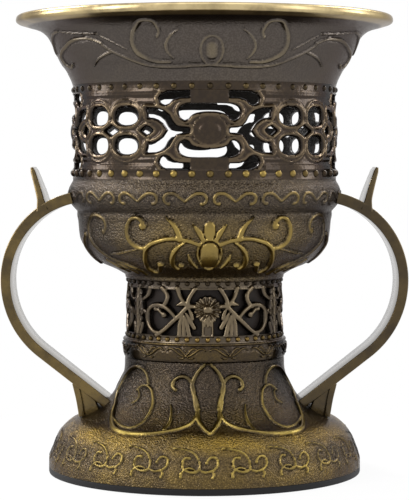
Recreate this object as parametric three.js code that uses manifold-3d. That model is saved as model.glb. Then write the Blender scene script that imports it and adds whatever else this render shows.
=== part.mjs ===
// A tabletop incense burner: a bell mouth over a pierced gallery, a bowl with a loose ember dish,
// a pierced neck, a flared stem on a domed foot, and two strap handles with thumb spurs.
// Millimetres, +Z up, the origin at the middle of the base, the front at -Y, the handles at +X and -X.
import * as THREE from 'three';
import { mergeVertices } from 'three/addons/utils/BufferGeometryUtils.js';
import Module from 'manifold-3d';

const wasm = await Module();
wasm.setup();

// Driving dimensions: counts and shared clearances
const bodyFacets = 28;
const galleryFacets = 20;
const collarFacets = 16;
const smallFacets = 12;
const seatGap = 0.3;
const cutOverrun = 1.5;
const ornamentTurnDegrees = 2.3;

// Driving dimensions: foot, stem and black base ring
const footRadius = 37.6;
const baseRingHeight = 1.6;
const baseRingWidth = 4;
const footEdgeHeight = 2.1;
const domeHeight = 9.7;
const domeRun = 8;
const flareHeight = 12.2;
const stemStep = 0.3;
const stemCollarHeight = 2.3;
const footWall = 2.2;
const reliefRise = 0.7;
const reliefRoot = 0.8;
const footScrolls = 20;
const scrollHalfWidth = 0.6;
const footWebThickness = 3;

// Driving dimensions: laurel band, neck sleeve and pierced neck collar
const laurelHeight = 4.4;
const laurelSwell = 0.8;
const laurelLip = 1.7;
const neckHeight = 14.2;
const sleeveRadius = 17.2;
const sleeveWall = 2;
const collarWall = 1.5;
const collarRailHeight = 1.7;
const collarSectors = 3;

// Driving dimensions: bowl
const bowlRootInset = 0.1;
const bowlTuck = 2.1;
const bowlUnderHeight = 10.6;
const bowlSideHeight = 5.6;
const shoulderSwell = 0.5;
const shoulderHeight = 5.2;
const bowlTopHeight = 2.8;
const bowlFloorThickness = 4;
const bowlWall = 3;
const bowlVineHalfWidth = 0.95;
const fruitHalfWidth = 2.2;
const fruitHalfHeight = 3.3;

// Driving dimensions: gallery ring and its windows
const galleryRadius = 32.5;
const galleryHeight = 22.4;
const galleryWall = 2.5;
const spigotWall = 0.9;
const spigotDepth = 2;
const beadBandHeight = 2.3;
const beadBandRelief = 0.4;
const galleryRepeats = 4;
const bossHalfWidth = 3;
const bossHalfHeight = 2.2;
const bossRelief = 0.9;

// Driving dimensions: bell mouth
const mouthRadius = 45.6;
const bellHeight = 16.2;
const bellWall = 1.9;

// Driving dimensions: ember dish
const dishClearance = 0.6;
const dishDepth = 11.5;
const dishWall = 1.2;

// Driving dimensions: tie bolt, washer and nut
const boltRadius = 2.5;
const boltHeadRadius = 4.8;
const boltHeadHeight = 3;
const boltOvershoot = 1.5;
const washerRadius = 6.5;
const washerThickness = 1;
const nutAcrossCorners = 9.2;
const nutHeight = 4;

// Driving dimensions: strap handles
const armBulge = 14.25;
const armSeatReach = 1.3;
const armThickness = 2.1;
const armLandingDrop = 0.6;
const armTopDepth = 18.5;
const armFootDepth = 11.5;
const legSetback = 0.8;
const spurBaseThickness = 2.1;
const spurTipThickness = 1.3;
const spurLength = 9;
const spurLean = 2.9;
const pegRadius = 0.9;
const handleScrewRadius = 1;
const handleScrewHeadRadius = 2.1;
const handleScrewHeadHeight = 1.3;
const handleScrewBite = 5;
const handleScrewInset = 3.2;
const legTopReach = 4.9;
const legFootReach = 2.9;
const handleBossRadius = 3.6;
const handleBossDepth = 3;

// Radii that follow from the sizes above
const collarRadius = sleeveRadius + seatGap + collarWall;
const stemRadius = collarRadius + stemStep;
const flareFootRadius = footRadius - domeRun;
const laurelRadius = stemRadius + laurelSwell;
const laurelBore = sleeveRadius - sleeveWall - laurelLip;
const bowlRootRadius = collarRadius - bowlRootInset;
const bowlRadius = galleryRadius - bowlTuck;
const shoulderRadius = galleryRadius + shoulderSwell;
const galleryBore = galleryRadius - galleryWall;
const spigotRadius = galleryBore + spigotWall;
const rebateRadius = spigotRadius + seatGap;
const dishRadius = galleryBore - dishClearance;
const ledgeRadius = bowlRadius - bowlWall;

// Heights of the seats, stacked from the base
const domeFootZ = baseRingHeight + footEdgeHeight;
const flareFootZ = domeFootZ + domeHeight;
const stemTopZ = flareFootZ + flareHeight + stemCollarHeight;
const laurelTopZ = stemTopZ + laurelHeight;
const bowlZ = laurelTopZ + neckHeight;
const bowlSideZ = bowlZ + bowlUnderHeight;
const shoulderZ = bowlSideZ + bowlSideHeight;
const bowlLipZ = shoulderZ + shoulderHeight;
const galleryZ = bowlLipZ + bowlTopHeight;
const galleryTopZ = galleryZ + galleryHeight;
const mouthZ = galleryTopZ + bellHeight;
const floorTopZ = bowlZ + bowlFloorThickness;

// Finishes
const bronze = finish(0x4c4236, 0.42, 0.85);
const brassRubbed = finish(0x6b5a34, 0.38, 0.85);
const footGold = finish(0x7d6526, 0.4, 0.85);
const innerBlack = finish(0x1f1c19, 0.7, 0.3);
const ringBlack = finish(0x2b292b, 0.55, 0.1);
const steel = finish(0x8d9093, 0.35, 0.95);
const handleBronze = finish(0x6e5f37, 0.36, 0.9);

function finish(color, roughness, metalness) {
  return new THREE.MeshStandardMaterial({ color, roughness, metalness });
}

function radians(degrees) {
  return THREE.MathUtils.degToRad(degrees);
}

// A named mesh from a solid, with its own copy of the finish
function piece(name, solid, material) {
  const mesh = solid.getMesh();
  const geometry = new THREE.BufferGeometry();
  const positions = new Float32Array(mesh.numVert * 3);
  for (let i = 0; i < mesh.numVert; i += 1) {
    positions.set(mesh.position(i), i * 3);
  }
  geometry.setAttribute('position', new THREE.BufferAttribute(positions, 3));
  geometry.setIndex(Array.from(mesh.triVerts));
  geometry.computeVertexNormals();
  const named = new THREE.Mesh(geometry, material.clone());
  named.name = name;
  return named;
}

// A closed solid from any closed geometry, with its faces turned outwards
function solidOf(geometry) {
  const bare = geometry.clone();
  bare.deleteAttribute('normal');
  bare.deleteAttribute('uv');
  const merged = mergeVertices(bare);
  const points = merged.getAttribute('position');
  const index = merged.getIndex();
  const triangles = [];
  let volume = 0;
  for (let i = 0; i < index.count; i += 3) {
    const corners = [index.getX(i), index.getX(i + 1), index.getX(i + 2)];
    if (new Set(corners).size < 3) {
      continue;
    }
    const [a, b, c] = corners.map((k) => new THREE.Vector3().fromBufferAttribute(points, k));
    volume += a.dot(b.cross(c));
    triangles.push(corners);
  }
  const outward = volume > 0 ? triangles : triangles.map(([a, b, c]) => [a, c, b]);
  return new wasm.Manifold(new wasm.Mesh({
    numProp: 3,
    vertProperties: new Float32Array(points.array),
    triVerts: new Uint32Array(outward.flat()),
  }));
}

// A turned solid from its outline of [radius, height] points, closed on itself unless it is a full round
function turned(outline, facets = bodyFacets) {
  const points = outline.map(([radius, height]) => new THREE.Vector2(radius, height));
  const onAxis = points[0].x === 0 && points[points.length - 1].x === 0;
  if (!onAxis) {
    points.push(points[0].clone());
  }
  return solidOf(new THREE.LatheGeometry(points, facets).rotateX(Math.PI / 2));
}

// Points between two [radius, height] ends, each a share of the way across and a share of the way up
function sweep([fromRadius, fromHeight], [toRadius, toHeight], shares) {
  return shares.map(([across, up]) => [
    THREE.MathUtils.lerp(fromRadius, toRadius, across),
    THREE.MathUtils.lerp(fromHeight, toHeight, up),
  ]);
}

// A prism standing on the XZ plane, as deep along Y as depthAt says at each height
function plate(outline, depthAt) {
  const shape = new THREE.Shape(outline.map(([x, z]) => new THREE.Vector2(x, z)));
  const geometry = new THREE.ExtrudeGeometry(shape, { depth: 1, bevelEnabled: false });
  const position = geometry.getAttribute('position');
  for (let i = 0; i < position.count; i += 1) {
    const x = position.getX(i);
    const z = position.getY(i);
    const side = position.getZ(i) - 0.5;
    position.setXYZ(i, x, side * depthAt(z), z);
  }
  return solidOf(geometry);
}

// A flat outline of [along, up] points wrapped on a cylinder and pushed through its wall
function wrapped(outline, radius, inner, outer, turnDegrees, centreZ) {
  const shape = new THREE.Shape(outline.map(([along, up]) => new THREE.Vector2(along, up)));
  const geometry = new THREE.ExtrudeGeometry(shape, { depth: 1, bevelEnabled: false });
  const position = geometry.getAttribute('position');
  const front = radians(turnDegrees - 90);
  for (let i = 0; i < position.count; i += 1) {
    const angle = front + position.getX(i) / radius;
    const reach = THREE.MathUtils.lerp(inner, outer, position.getZ(i));
    position.setXYZ(i, reach * Math.cos(angle), reach * Math.sin(angle), centreZ + position.getY(i));
  }
  return solidOf(geometry);
}

function mirroredAlong(outline) {
  return outline.map(([along, up]) => [-along, up]).reverse();
}

function mirroredUp(outline) {
  return outline.map(([along, up]) => [along, -up]).reverse();
}

function ellipse(centre, halfWidth, halfHeight, sides) {
  return Array.from({ length: sides }, (_, i) => {
    const angle = (i / sides) * Math.PI * 2;
    return [centre[0] + halfWidth * Math.cos(angle), centre[1] + halfHeight * Math.sin(angle)];
  });
}

// A band about an open line of [along, up] points, as wide as halfWidth each side and pointed at both ends
function band(line, halfWidth) {
  const left = [];
  const right = [];
  for (let i = 1; i < line.length - 1; i += 1) {
    const along = line[i + 1][0] - line[i - 1][0];
    const up = line[i + 1][1] - line[i - 1][1];
    const reach = halfWidth / Math.hypot(along, up);
    left.push([line[i][0] - up * reach, line[i][1] + along * reach]);
    right.push([line[i][0] + up * reach, line[i][1] - along * reach]);
  }
  return [line[0], ...right, line[line.length - 1], ...left.reverse()];
}

// Where a face of [radius, height] points, drawn from its foot up, stands at one height
function radiusOn(face, z) {
  const above = face.findIndex(([, height], i) => i > 0 && height >= z);
  const [lowRadius, lowZ] = face[above - 1];
  const [highRadius, highZ] = face[above];
  return THREE.MathUtils.mapLinear(z, lowZ, highZ, lowRadius, highRadius);
}

// A flat outline wrapped on a casting's face, its back sunk in the metal and its front proud of it
function raised(outline, radius, face, turnDegrees) {
  const shape = new THREE.Shape(outline.map(([along, up]) => new THREE.Vector2(along, up)));
  const geometry = new THREE.ExtrudeGeometry(shape, { depth: 1, bevelEnabled: false });
  const position = geometry.getAttribute('position');
  const front = radians(turnDegrees - 90);
  for (let i = 0; i < position.count; i += 1) {
    const angle = front + position.getX(i) / radius;
    const z = position.getY(i);
    const reach = radiusOn(face, z) + THREE.MathUtils.lerp(-reliefRoot, reliefRise, position.getZ(i));
    position.setXYZ(i, reach * Math.cos(angle), reach * Math.sin(angle), z);
  }
  return solidOf(geometry);
}

// Raised forms repeated on a face at each turn, their outlines given for a middling radius
function raisedWork(face, outlines, turns) {
  const radii = face.map(([radius]) => radius);
  const middle = (Math.min(...radii) + Math.max(...radii)) / 2;
  const works = turns.flatMap((turn) => (
    outlines.map((outline) => raised(outline(middle), middle, face, turn))
  ));
  return works.reduce((solid, work) => solid.add(work));
}

// Points given in shares of half a motif's pitch and of the height from one level to another
function spread(shares, radius, pitchDegrees, lowZ, highZ, hand) {
  const halfPitch = (radians(pitchDegrees) * radius) / 2;
  return shares.map(([along, up]) => [hand * along * halfPitch, THREE.MathUtils.lerp(lowZ, highZ, up)]);
}

// Foot: one casting, a dome that sweeps up into the flared stem, hollow below and webbed at the top
const domeShares = [[0, 0], [0.31, 0.6], [0.52, 0.8], [0.68, 0.9], [1, 1]];
const flareShares = [[0.21, 0.08], [0.5, 0.25], [0.76, 0.48], [0.95, 0.8], [1, 1]];
const hollowDomeShares = [[0, 0], [0.1, 0.4], [0.4, 0.8], [1, 1]];
const hollowFlareShares = [[0.5, 0.26], [0.85, 0.64], [1, 1]];

const footOutline = [
  [footRadius, baseRingHeight],
  ...sweep([footRadius, domeFootZ], [flareFootRadius, flareFootZ], domeShares),
  ...sweep([flareFootRadius, flareFootZ], [stemRadius, flareFootZ + flareHeight], flareShares),
  [stemRadius, stemTopZ],
];
const webZ = stemTopZ - footWebThickness;
const hollowRadius = footRadius - footWall;
const hollowFlareRadius = flareFootRadius - footWall;
const hollowFlareZ = flareFootZ - footWall;
const hollowStemRadius = stemRadius - footWall;
const boltHole = boltRadius + seatGap;

// Scrolls round the dome, their points in shares of half a scroll's pitch and of the dome's height
const scrollShares = [[-1.5, 0.66], [-0.75, 0.66], [-0.46, 0.34], [-0.95, 0.15], [-1.15, 0.36]];

function footRelief() {
  const pitch = 360 / footScrolls;
  const scroll = (radius) => (
    band(spread(scrollShares, radius, pitch, domeFootZ, flareFootZ, 1), scrollHalfWidth)
  );
  const turns = Array.from({ length: footScrolls }, (_, i) => ornamentTurnDegrees + i * pitch);
  return raisedWork(footOutline, [scroll], turns);
}

function foot() {
  const hollow = [
    ...sweep([hollowRadius, baseRingHeight], [hollowFlareRadius, hollowFlareZ], hollowDomeShares),
    ...sweep([hollowFlareRadius, hollowFlareZ], [hollowStemRadius, webZ], hollowFlareShares),
  ];
  const casting = turned([...footOutline, [boltHole, stemTopZ], [boltHole, webZ], ...hollow.reverse()]);
  const filled = turned([[0, baseRingHeight], ...footOutline, [0, stemTopZ]]);
  const boss = (side) => legScrewPin(side, handleBossRadius, legBossZ, webZ).intersect(filled);
  const worked = casting.add(footRelief());
  return [-1, 1].reduce((solid, side) => solid.add(boss(side)).subtract(legScrewHole(side)), worked);
}

// Base ring: the black ring glued under the foot's edge, flush with it outside
function baseRing() {
  return turned([
    [footRadius - baseRingWidth, 0],
    [footRadius, 0],
    [footRadius, baseRingHeight],
    [footRadius - baseRingWidth, baseRingHeight],
  ]);
}

// Laurel band: a cast ring with a swelling face, between the stem and the pierced neck
const laurelShares = [[0, 0], [0.75, 0.17], [1, 0.5], [0.8, 0.86], [0.25, 1]];

function laurelBand() {
  const face = sweep([stemRadius, stemTopZ], [laurelRadius, laurelTopZ], laurelShares);
  return turned([[laurelBore, stemTopZ], ...face, [laurelBore, laurelTopZ]]);
}

// Neck sleeve: the plain tube that carries the bowl and closes the view through the collar
function neckSleeve() {
  return turned([
    [sleeveRadius - sleeveWall, laurelTopZ],
    [sleeveRadius, laurelTopZ],
    [sleeveRadius, bowlZ],
    [sleeveRadius - sleeveWall, bowlZ],
  ], collarFacets);
}

// Neck collar: cast openwork between two rails, the tracery of rosette, fans and volutes three times round.
// Each window is a list of [share of the half sector, share of the height between the rails].
const collarWindowShares = [
  [[0.03, 0.93], [0.14, 0.95], [0.19, 0.81], [0.21, 0.69], [0.15, 0.74], [0.09, 0.88]],
  [[0.2, 0.95], [0.34, 0.95], [0.31, 0.83], [0.26, 0.71], [0.23, 0.84]],
  [[0.41, 0.95], [0.54, 0.94], [0.5, 0.82], [0.49, 0.7], [0.41, 0.71], [0.36, 0.82]],
  [[0.09, 0.08], [0.15, 0.12], [0.2, 0.33], [0.15, 0.41], [0.09, 0.33]],
  [[0.36, 0.32], [0.41, 0.3], [0.53, 0.1], [0.36, 0.07]],
  [[0.61, 0.93], [0.82, 0.95], [0.93, 0.81], [0.85, 0.68], [0.74, 0.75], [0.63, 0.73]],
  [[0.84, 0.07], [0.93, 0.1], [0.97, 0.35], [0.9, 0.55], [0.87, 0.4]],
];
const voluteCentreShares = [0.62, 0.38];
const voluteHalfWidthShare = 0.12;
const voluteHalfHeightShare = 0.21;
const voluteSides = 6;

function neckCollar() {
  const inner = collarRadius - collarWall;
  const railZ = laurelTopZ + collarRailHeight;
  const openHeight = neckHeight - collarRailHeight * 2;
  const halfSector = (Math.PI * collarRadius) / collarSectors;
  const outlines = collarWindowShares.map((window) => (
    window.map(([along, up]) => [along * halfSector, up * openHeight])
  ));
  const [voluteAlong, voluteUp] = voluteCentreShares;
  outlines.push(ellipse(
    [voluteAlong * halfSector, voluteUp * openHeight],
    voluteHalfWidthShare * halfSector,
    voluteHalfHeightShare * openHeight,
    voluteSides,
  ));
  const wall = [[inner, laurelTopZ], [collarRadius, laurelTopZ], [collarRadius, bowlZ], [inner, bowlZ]];
  const blank = turned(wall, collarFacets);
  const cuts = [];
  for (let sector = 0; sector < collarSectors; sector += 1) {
    const turn = ornamentTurnDegrees + (sector * 360) / collarSectors;
    for (const outline of outlines) {
      for (const half of [outline, mirroredAlong(outline)]) {
        cuts.push(wrapped(half, collarRadius, inner - cutOverrun, collarRadius + cutOverrun, turn, railZ));
      }
    }
  }
  return cuts.reduce((solid, cut) => solid.subtract(cut), blank);
}

// Bowl: relief-cast, round-bottomed, with a rolled shoulder, a ledge for the dish
// and a rebate for the gallery's spigot
const bowlUnderShares = [[0, 0], [0.05, 0.08], [0.65, 0.36], [0.84, 0.52], [0.95, 0.76], [1, 1]];
const bowlSideShares = [[0.27, 1]];
const shoulderShares = [[0.5, 0.16], [0.82, 0.5], [1, 0.86], [0.9, 1]];
const bowlHollowShares = [[0.72, 0], [0.9, 0.16], [1, 0.5]];

const ledgeZ = shoulderZ + shoulderHeight / 2;
const bowlOutline = [
  ...sweep([bowlRootRadius, bowlZ], [bowlRadius, bowlSideZ], bowlUnderShares),
  ...sweep([bowlRadius, bowlSideZ], [shoulderRadius, shoulderZ], bowlSideShares),
  ...sweep([bowlRadius, shoulderZ], [shoulderRadius, bowlLipZ], shoulderShares),
  [galleryRadius, galleryZ],
];

// On the front and back of the bowl, a fruit between two vines
const facePitchDegrees = 180;
const faceTurns = [ornamentTurnDegrees, ornamentTurnDegrees + facePitchDegrees];
const bowlVineShares = [[0.07, 0.56], [0.15, 0.66], [0.27, 0.64], [0.36, 0.42], [0.3, 0.22]];
const fruitUpShare = 0.43;
const fruitSides = 8;

function bowlRelief() {
  const vines = [-1, 1].map((hand) => (radius) => (
    band(spread(bowlVineShares, radius, facePitchDegrees, bowlZ, shoulderZ, hand), bowlVineHalfWidth)
  ));
  const fruitZ = THREE.MathUtils.lerp(bowlZ, shoulderZ, fruitUpShare);
  const fruit = () => ellipse([0, fruitZ], fruitHalfWidth, fruitHalfHeight, fruitSides);
  return raisedWork(bowlOutline, [fruit, ...vines], faceTurns);
}

function bowl() {
  const rebateZ = galleryZ - spigotDepth - seatGap;
  const hollow = sweep([0, floorTopZ], [ledgeRadius, ledgeZ], bowlHollowShares);
  const casting = turned([
    [boltHole, bowlZ],
    ...bowlOutline,
    [rebateRadius, galleryZ],
    [rebateRadius, rebateZ],
    [galleryBore, rebateZ],
    [galleryBore, ledgeZ],
    [ledgeRadius, ledgeZ],
    ...hollow.reverse(),
    [boltHole, floorTopZ],
  ]);
  const drill = (solid, side) => solid.subtract(peg(side, pegRadius + seatGap, galleryBore - cutOverrun));
  return [-1, 1].reduce(drill, casting.add(bowlRelief()));
}

// Gallery ring: the pierced ring, cast with a bead band and a spigot at each end.
// Its tracery is one eighth of the way round, mirrored along and up from each medallion.
// Sizes along the ring are shares of that eighth, sizes up it are shares of half the ring's height.
const galleryEighth = (Math.PI * galleryRadius) / galleryRepeats;
const galleryHalf = galleryHeight / 2;
const medallionHalfWidthShare = 0.172;
const medallionHalfHeightShare = 0.34;
const loopHalfWidthShare = 0.133;
const loopHalfHeightShare = 0.214;
const loopAlongShare = 0.804;
const loopUpShare = 0.277;
const leafTipShare = 0.388;
const leafEyeNearShare = 0.522;
const leafEyeFarShare = 0.643;
const leafEyeHalfHeightShare = 0.09;
const diamondHalfWidthShare = 0.094;
const diamondHalfHeightShare = 0.107;
const slotHalfHeightShare = 0.045;
const forkTopShare = 0.446;
const commaTopShare = 0.795;
const commaEndShare = 0.466;
const commaBulbShare = 0.138;
const oblongHalfWidthShare = 0.259;
const oblongTopShare = 0.536;
const oblongFootShare = 0.214;
const loopSides = 6;
const earShare = 0.35;
const archShare = 0.8;
const bossSides = 8;
const earDropShare = 0.78;
const cheekShare = 0.96;
const cornerShare = 0.14;
const commaTailShare = 0.85;

const forkShares = [
  [-0.45, 0.12], [-0.25, 0.26], [-0.07, 0.68], [0.2, 0.94], [0.7, 1], [0.62, 0.74], [0.66, 0.6], [0.34, 0.5],
  [0.12, 0.24],
];

const galleryMidZ = galleryZ + galleryHalf;
const medallionHalfWidth = medallionHalfWidthShare * galleryEighth;
const medallionHalfHeight = medallionHalfHeightShare * galleryHalf;

// The long window over the medallion, a flat arch with round ends that stand on the medallion's ears
function oblongWindow() {
  const oblongHalfWidth = oblongHalfWidthShare * galleryEighth;
  const oblongTop = oblongTopShare * galleryHalf;
  const oblongFoot = oblongFootShare * galleryHalf;
  const neck = medallionHalfWidth + (oblongHalfWidth - medallionHalfWidth) * earShare;
  const half = [
    [0, medallionHalfHeight],
    [medallionHalfWidth * archShare, medallionHalfHeight],
    [medallionHalfWidth, medallionHalfHeight * earDropShare],
    [neck, oblongFoot],
    [oblongHalfWidth * cheekShare, (oblongFoot + medallionHalfHeight) / 2],
    [oblongHalfWidth, (oblongFoot + oblongTop) / 2],
    [oblongHalfWidth * cheekShare, oblongTop - (oblongTop - oblongFoot) * cornerShare],
    [oblongHalfWidth * archShare, oblongTop],
  ];
  return [...half, ...mirroredAlong(half.slice(1))];
}

// The comma beside the tab that joins the medallion to the bead band
function commaWindow() {
  const commaTop = commaTopShare * galleryHalf;
  const commaBulb = commaBulbShare * galleryHalf;
  const commaEnd = commaEndShare * galleryEighth;
  const bulbAlong = commaEnd - commaBulb;
  const bulbUp = commaTop - commaBulb;
  const bulb = ellipse([bulbAlong, bulbUp], commaBulb, commaBulb, loopSides);
  const below = bulb.filter(([along, up]) => along > bulbAlong || up < bulbUp);
  const lowest = below.filter(([, up]) => up < bulbUp).sort((a, b) => a[0] - b[0]);
  const rising = below.filter(([, up]) => up >= bulbUp).sort((a, b) => a[1] - b[1]);
  const tail = [medallionHalfWidth, commaTop - commaBulb * commaTailShare];
  return [tail, ...lowest, ...rising, [bulbAlong, commaTop], [medallionHalfWidth, commaTop]];
}

// The forked window round the leaf tip, which runs into a narrow slot at the medallion's waist
function forkWindow() {
  const leafTip = leafTipShare * galleryEighth;
  const loopEdge = (loopAlongShare - loopHalfWidthShare) * galleryEighth;
  const reach = loopEdge - leafTip;
  const forkTop = forkTopShare * galleryHalf;
  const arm = forkShares.map(([along, up]) => [leafTip + along * reach, up * forkTop]);
  const upper = [[medallionHalfWidth, slotHalfHeightShare * galleryHalf], ...arm];
  return [...upper, [leafTip, 0], ...mirroredUp(upper)];
}

function leafEye() {
  const near = leafEyeNearShare * galleryEighth;
  const far = leafEyeFarShare * galleryEighth;
  const middle = (near + far) / 2;
  const leafEyeHalfHeight = leafEyeHalfHeightShare * galleryHalf;
  return [[near, 0], [middle, -leafEyeHalfHeight], [far, 0], [middle, leafEyeHalfHeight]];
}

function galleryRing() {
  const bandRadius = galleryRadius + beadBandRelief;
  const lowerBandZ = galleryZ + beadBandHeight;
  const upperBandZ = galleryTopZ - beadBandHeight;
  const blank = turned([
    [galleryBore, galleryZ - spigotDepth],
    [spigotRadius, galleryZ - spigotDepth],
    [spigotRadius, galleryZ],
    [bandRadius, galleryZ],
    [bandRadius, lowerBandZ],
    [galleryRadius, lowerBandZ],
    [galleryRadius, upperBandZ],
    [bandRadius, upperBandZ],
    [bandRadius, galleryTopZ],
    [spigotRadius, galleryTopZ],
    [spigotRadius, galleryTopZ + spigotDepth],
    [galleryBore, galleryTopZ + spigotDepth],
  ], galleryFacets);
  const loop = ellipse(
    [loopAlongShare * galleryEighth, loopUpShare * galleryHalf],
    loopHalfWidthShare * galleryEighth,
    loopHalfHeightShare * galleryHalf,
    loopSides,
  );
  const diamondHalfWidth = diamondHalfWidthShare * galleryEighth;
  const diamondHalfHeight = diamondHalfHeightShare * galleryHalf;
  const diamond = [
    [galleryEighth - diamondHalfWidth, 0],
    [galleryEighth, -diamondHalfHeight],
    [galleryEighth + diamondHalfWidth, 0],
    [galleryEighth, diamondHalfHeight],
  ];
  const centred = [oblongWindow(), mirroredUp(oblongWindow()), diamond];
  const handed = [commaWindow(), mirroredUp(commaWindow()), loop, mirroredUp(loop), forkWindow(), leafEye()];
  const outlines = [...centred, ...handed, ...handed.map(mirroredAlong)];
  const inner = galleryBore - cutOverrun;
  const outer = galleryRadius + cutOverrun;
  let ring = blank;
  for (let repeat = 0; repeat < galleryRepeats; repeat += 1) {
    const turn = ornamentTurnDegrees + (repeat * 360) / galleryRepeats;
    for (const outline of outlines) {
      ring = ring.subtract(wrapped(outline, galleryRadius, inner, outer, turn, galleryMidZ));
    }
    ring = ring.add(medallionBoss(turn));
  }
  return ring;
}

// The oval boss on each medallion, a flattened dome sunk to its middle in the wall
function medallionBoss(turnDegrees) {
  const dome = new THREE.SphereGeometry(1, bossSides, bossSides / 2);
  dome.scale(bossHalfWidth, bossRelief * 2, bossHalfHeight);
  dome.translate(0, bossRelief - galleryRadius, galleryMidZ);
  return solidOf(dome.rotateZ(radians(turnDegrees)));
}

// Rim bell: the flared mouth with a rolled lip, seated over the gallery's upper spigot
const bellShares = [[0, 0], [0.03, 0.1], [0.1, 0.23], [0.17, 0.3], [0.41, 0.7], [0.49, 0.78],
  [0.62, 0.84], [0.82, 0.89], [1, 0.94]];
const bellHollowShares = [[0.02, 0.28], [0.2, 0.54], [0.36, 0.75], [0.56, 0.86], [0.8, 0.93]];

function rimBell() {
  const hollowFoot = [rebateRadius, galleryTopZ];
  const hollowMouth = [mouthRadius - bellWall / 2, mouthZ];
  return turned([
    ...sweep([galleryRadius, galleryTopZ], [mouthRadius, mouthZ], bellShares),
    [mouthRadius - bellWall / 4, mouthZ - bellWall / 8],
    hollowMouth,
    ...sweep(hollowFoot, hollowMouth, bellHollowShares).reverse(),
    [rebateRadius, galleryTopZ + spigotDepth + seatGap],
    hollowFoot,
  ]);
}

// Ember dish: a pressed cup that hangs by its rim on the bowl's ledge and lifts straight out
const dishCupShares = [[0.72, 0], [0.93, 0.14], [1, 0.5]];

function emberDish() {
  const rimZ = ledgeZ + seatGap;
  const bottomZ = rimZ - dishDepth;
  const cupRadius = ledgeRadius - dishClearance;
  const outside = sweep([0, bottomZ], [cupRadius, rimZ], dishCupShares);
  const inside = sweep([0, bottomZ + dishWall], [cupRadius - dishWall, rimZ + dishWall], dishCupShares);
  return turned([
    [0, bottomZ],
    ...outside,
    [cupRadius, rimZ],
    [dishRadius, rimZ],
    [dishRadius, rimZ + dishWall],
    [cupRadius - dishWall, rimZ + dishWall],
    ...inside.reverse(),
    [0, bottomZ + dishWall],
  ], galleryFacets);
}

// Tie bolt, washer and nut: they clamp the bowl, neck, band and foot together
const boltCrownShare = 0.7;
const nutSides = 6;

const washerZ = webZ - washerThickness;
const nutZ = washerZ - nutHeight;

function tieBolt() {
  return turned([
    [0, nutZ - boltOvershoot],
    [boltRadius, nutZ - boltOvershoot],
    [boltRadius, floorTopZ],
    [boltHeadRadius, floorTopZ],
    [boltHeadRadius, floorTopZ + boltHeadHeight / 2],
    [boltHeadRadius * boltCrownShare, floorTopZ + boltHeadHeight],
    [0, floorTopZ + boltHeadHeight],
  ], smallFacets);
}

function tieWasher() {
  return turned([
    [boltHole, washerZ],
    [washerRadius, washerZ],
    [washerRadius, webZ],
    [boltHole, webZ],
  ], smallFacets);
}

function tieNut() {
  const corner = nutAcrossCorners / 2;
  const blank = turned([[0, nutZ], [corner, nutZ], [corner, washerZ], [0, washerZ]], nutSides);
  const bore = turned([
    [0, nutZ - cutOverrun],
    [boltHole, nutZ - cutOverrun],
    [boltHole, washerZ + cutOverrun],
    [0, washerZ + cutOverrun],
  ], smallFacets);
  return blank.subtract(bore);
}

// Strap handle: a C-shaped strap whose depth tapers downwards, a straight run to the stem,
// a leg down to the dome, a thumb spur, and a peg that is peened over inside the bowl
const spurWaistShare = 0.45;
const spurWaistLeanShare = 0.35;

// The strap's middle line is an arc through its seat on the shoulder, its bulge level with the bowl's root
const pegZ = ledgeZ + pegRadius;
const seatX = shoulderRadius + armSeatReach;
const armArcCentreZ = bowlZ;
const bulgeWidth = armBulge - armSeatReach;
const bulgeHeight = pegZ - armArcCentreZ;
const armMiddleRadius = (bulgeWidth ** 2 + bulgeHeight ** 2) / (bulgeWidth * 2);
const armArcRadius = armMiddleRadius + armThickness / 2;
const armInnerRadius = armMiddleRadius - armThickness / 2;
const armArcCentreX = seatX + bulgeWidth - armMiddleRadius;
const armTopDegrees = 80;
const armArcSteps = 12;
const spurAtDegrees = 53;

function armDepth(z) {
  const topZ = armArcCentreZ + armArcRadius;
  const share = (z - flareFootZ) / (topZ - flareFootZ);
  return THREE.MathUtils.lerp(armFootDepth, armTopDepth, share);
}

function armPoint(radius, degrees) {
  const angle = radians(degrees);
  return [armArcCentreX + radius * Math.cos(angle), armArcCentreZ + radius * Math.sin(angle)];
}

function runFrom([x, z], length) {
  return [x - length * Math.cos(armRunSlope), z - length * Math.sin(armRunSlope)];
}

// The straight run leaves the arc along the tangent that lands on the stem just under the flare's foot
const armLandingZ = flareFootZ - armLandingDrop;
const landingX = stemRadius - armArcCentreX;
const landingDrop = armArcCentreZ - armLandingZ;
const landingDistance = Math.hypot(landingX, landingDrop);
const armEndAngle = Math.atan2(-landingDrop, landingX) + Math.acos(armArcRadius / landingDistance);
const armEndDegrees = THREE.MathUtils.radToDeg(armEndAngle);
const armRunSlope = armEndAngle + Math.PI / 2;

const armRunStart = armPoint(armArcRadius, armEndDegrees);
const armRunLength = (armRunStart[0] - stemRadius) / Math.cos(armRunSlope);
const armRunMiddle = armPoint(armMiddleRadius, armEndDegrees);

function armOutline() {
  const outer = [];
  const inner = [];
  for (let step = 0; step <= armArcSteps; step += 1) {
    const degrees = THREE.MathUtils.lerp(armTopDegrees, armEndDegrees, step / armArcSteps);
    outer.push(armPoint(armArcRadius, degrees));
    inner.push(armPoint(armInnerRadius, degrees));
  }
  outer.push(runFrom(armRunStart, armRunLength));
  inner.push(runFrom(armPoint(armInnerRadius, armEndDegrees), armRunLength));
  return [...outer, ...inner.reverse()];
}

// The leg stands under the straight run, its outer edge drawn in a little towards the dome
const legScrewX = flareFootRadius - handleScrewInset;

function legOutline() {
  const topX = legScrewX + legTopReach;
  const top = runFrom(armRunMiddle, (armRunMiddle[0] - topX) / Math.cos(armRunSlope));
  const footZ = flareFootZ - footWall;
  return [
    top,
    [legScrewX + legFootReach, footZ],
    [stemRadius + armThickness, footZ],
    runFrom(armRunMiddle, armRunLength),
  ];
}

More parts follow.
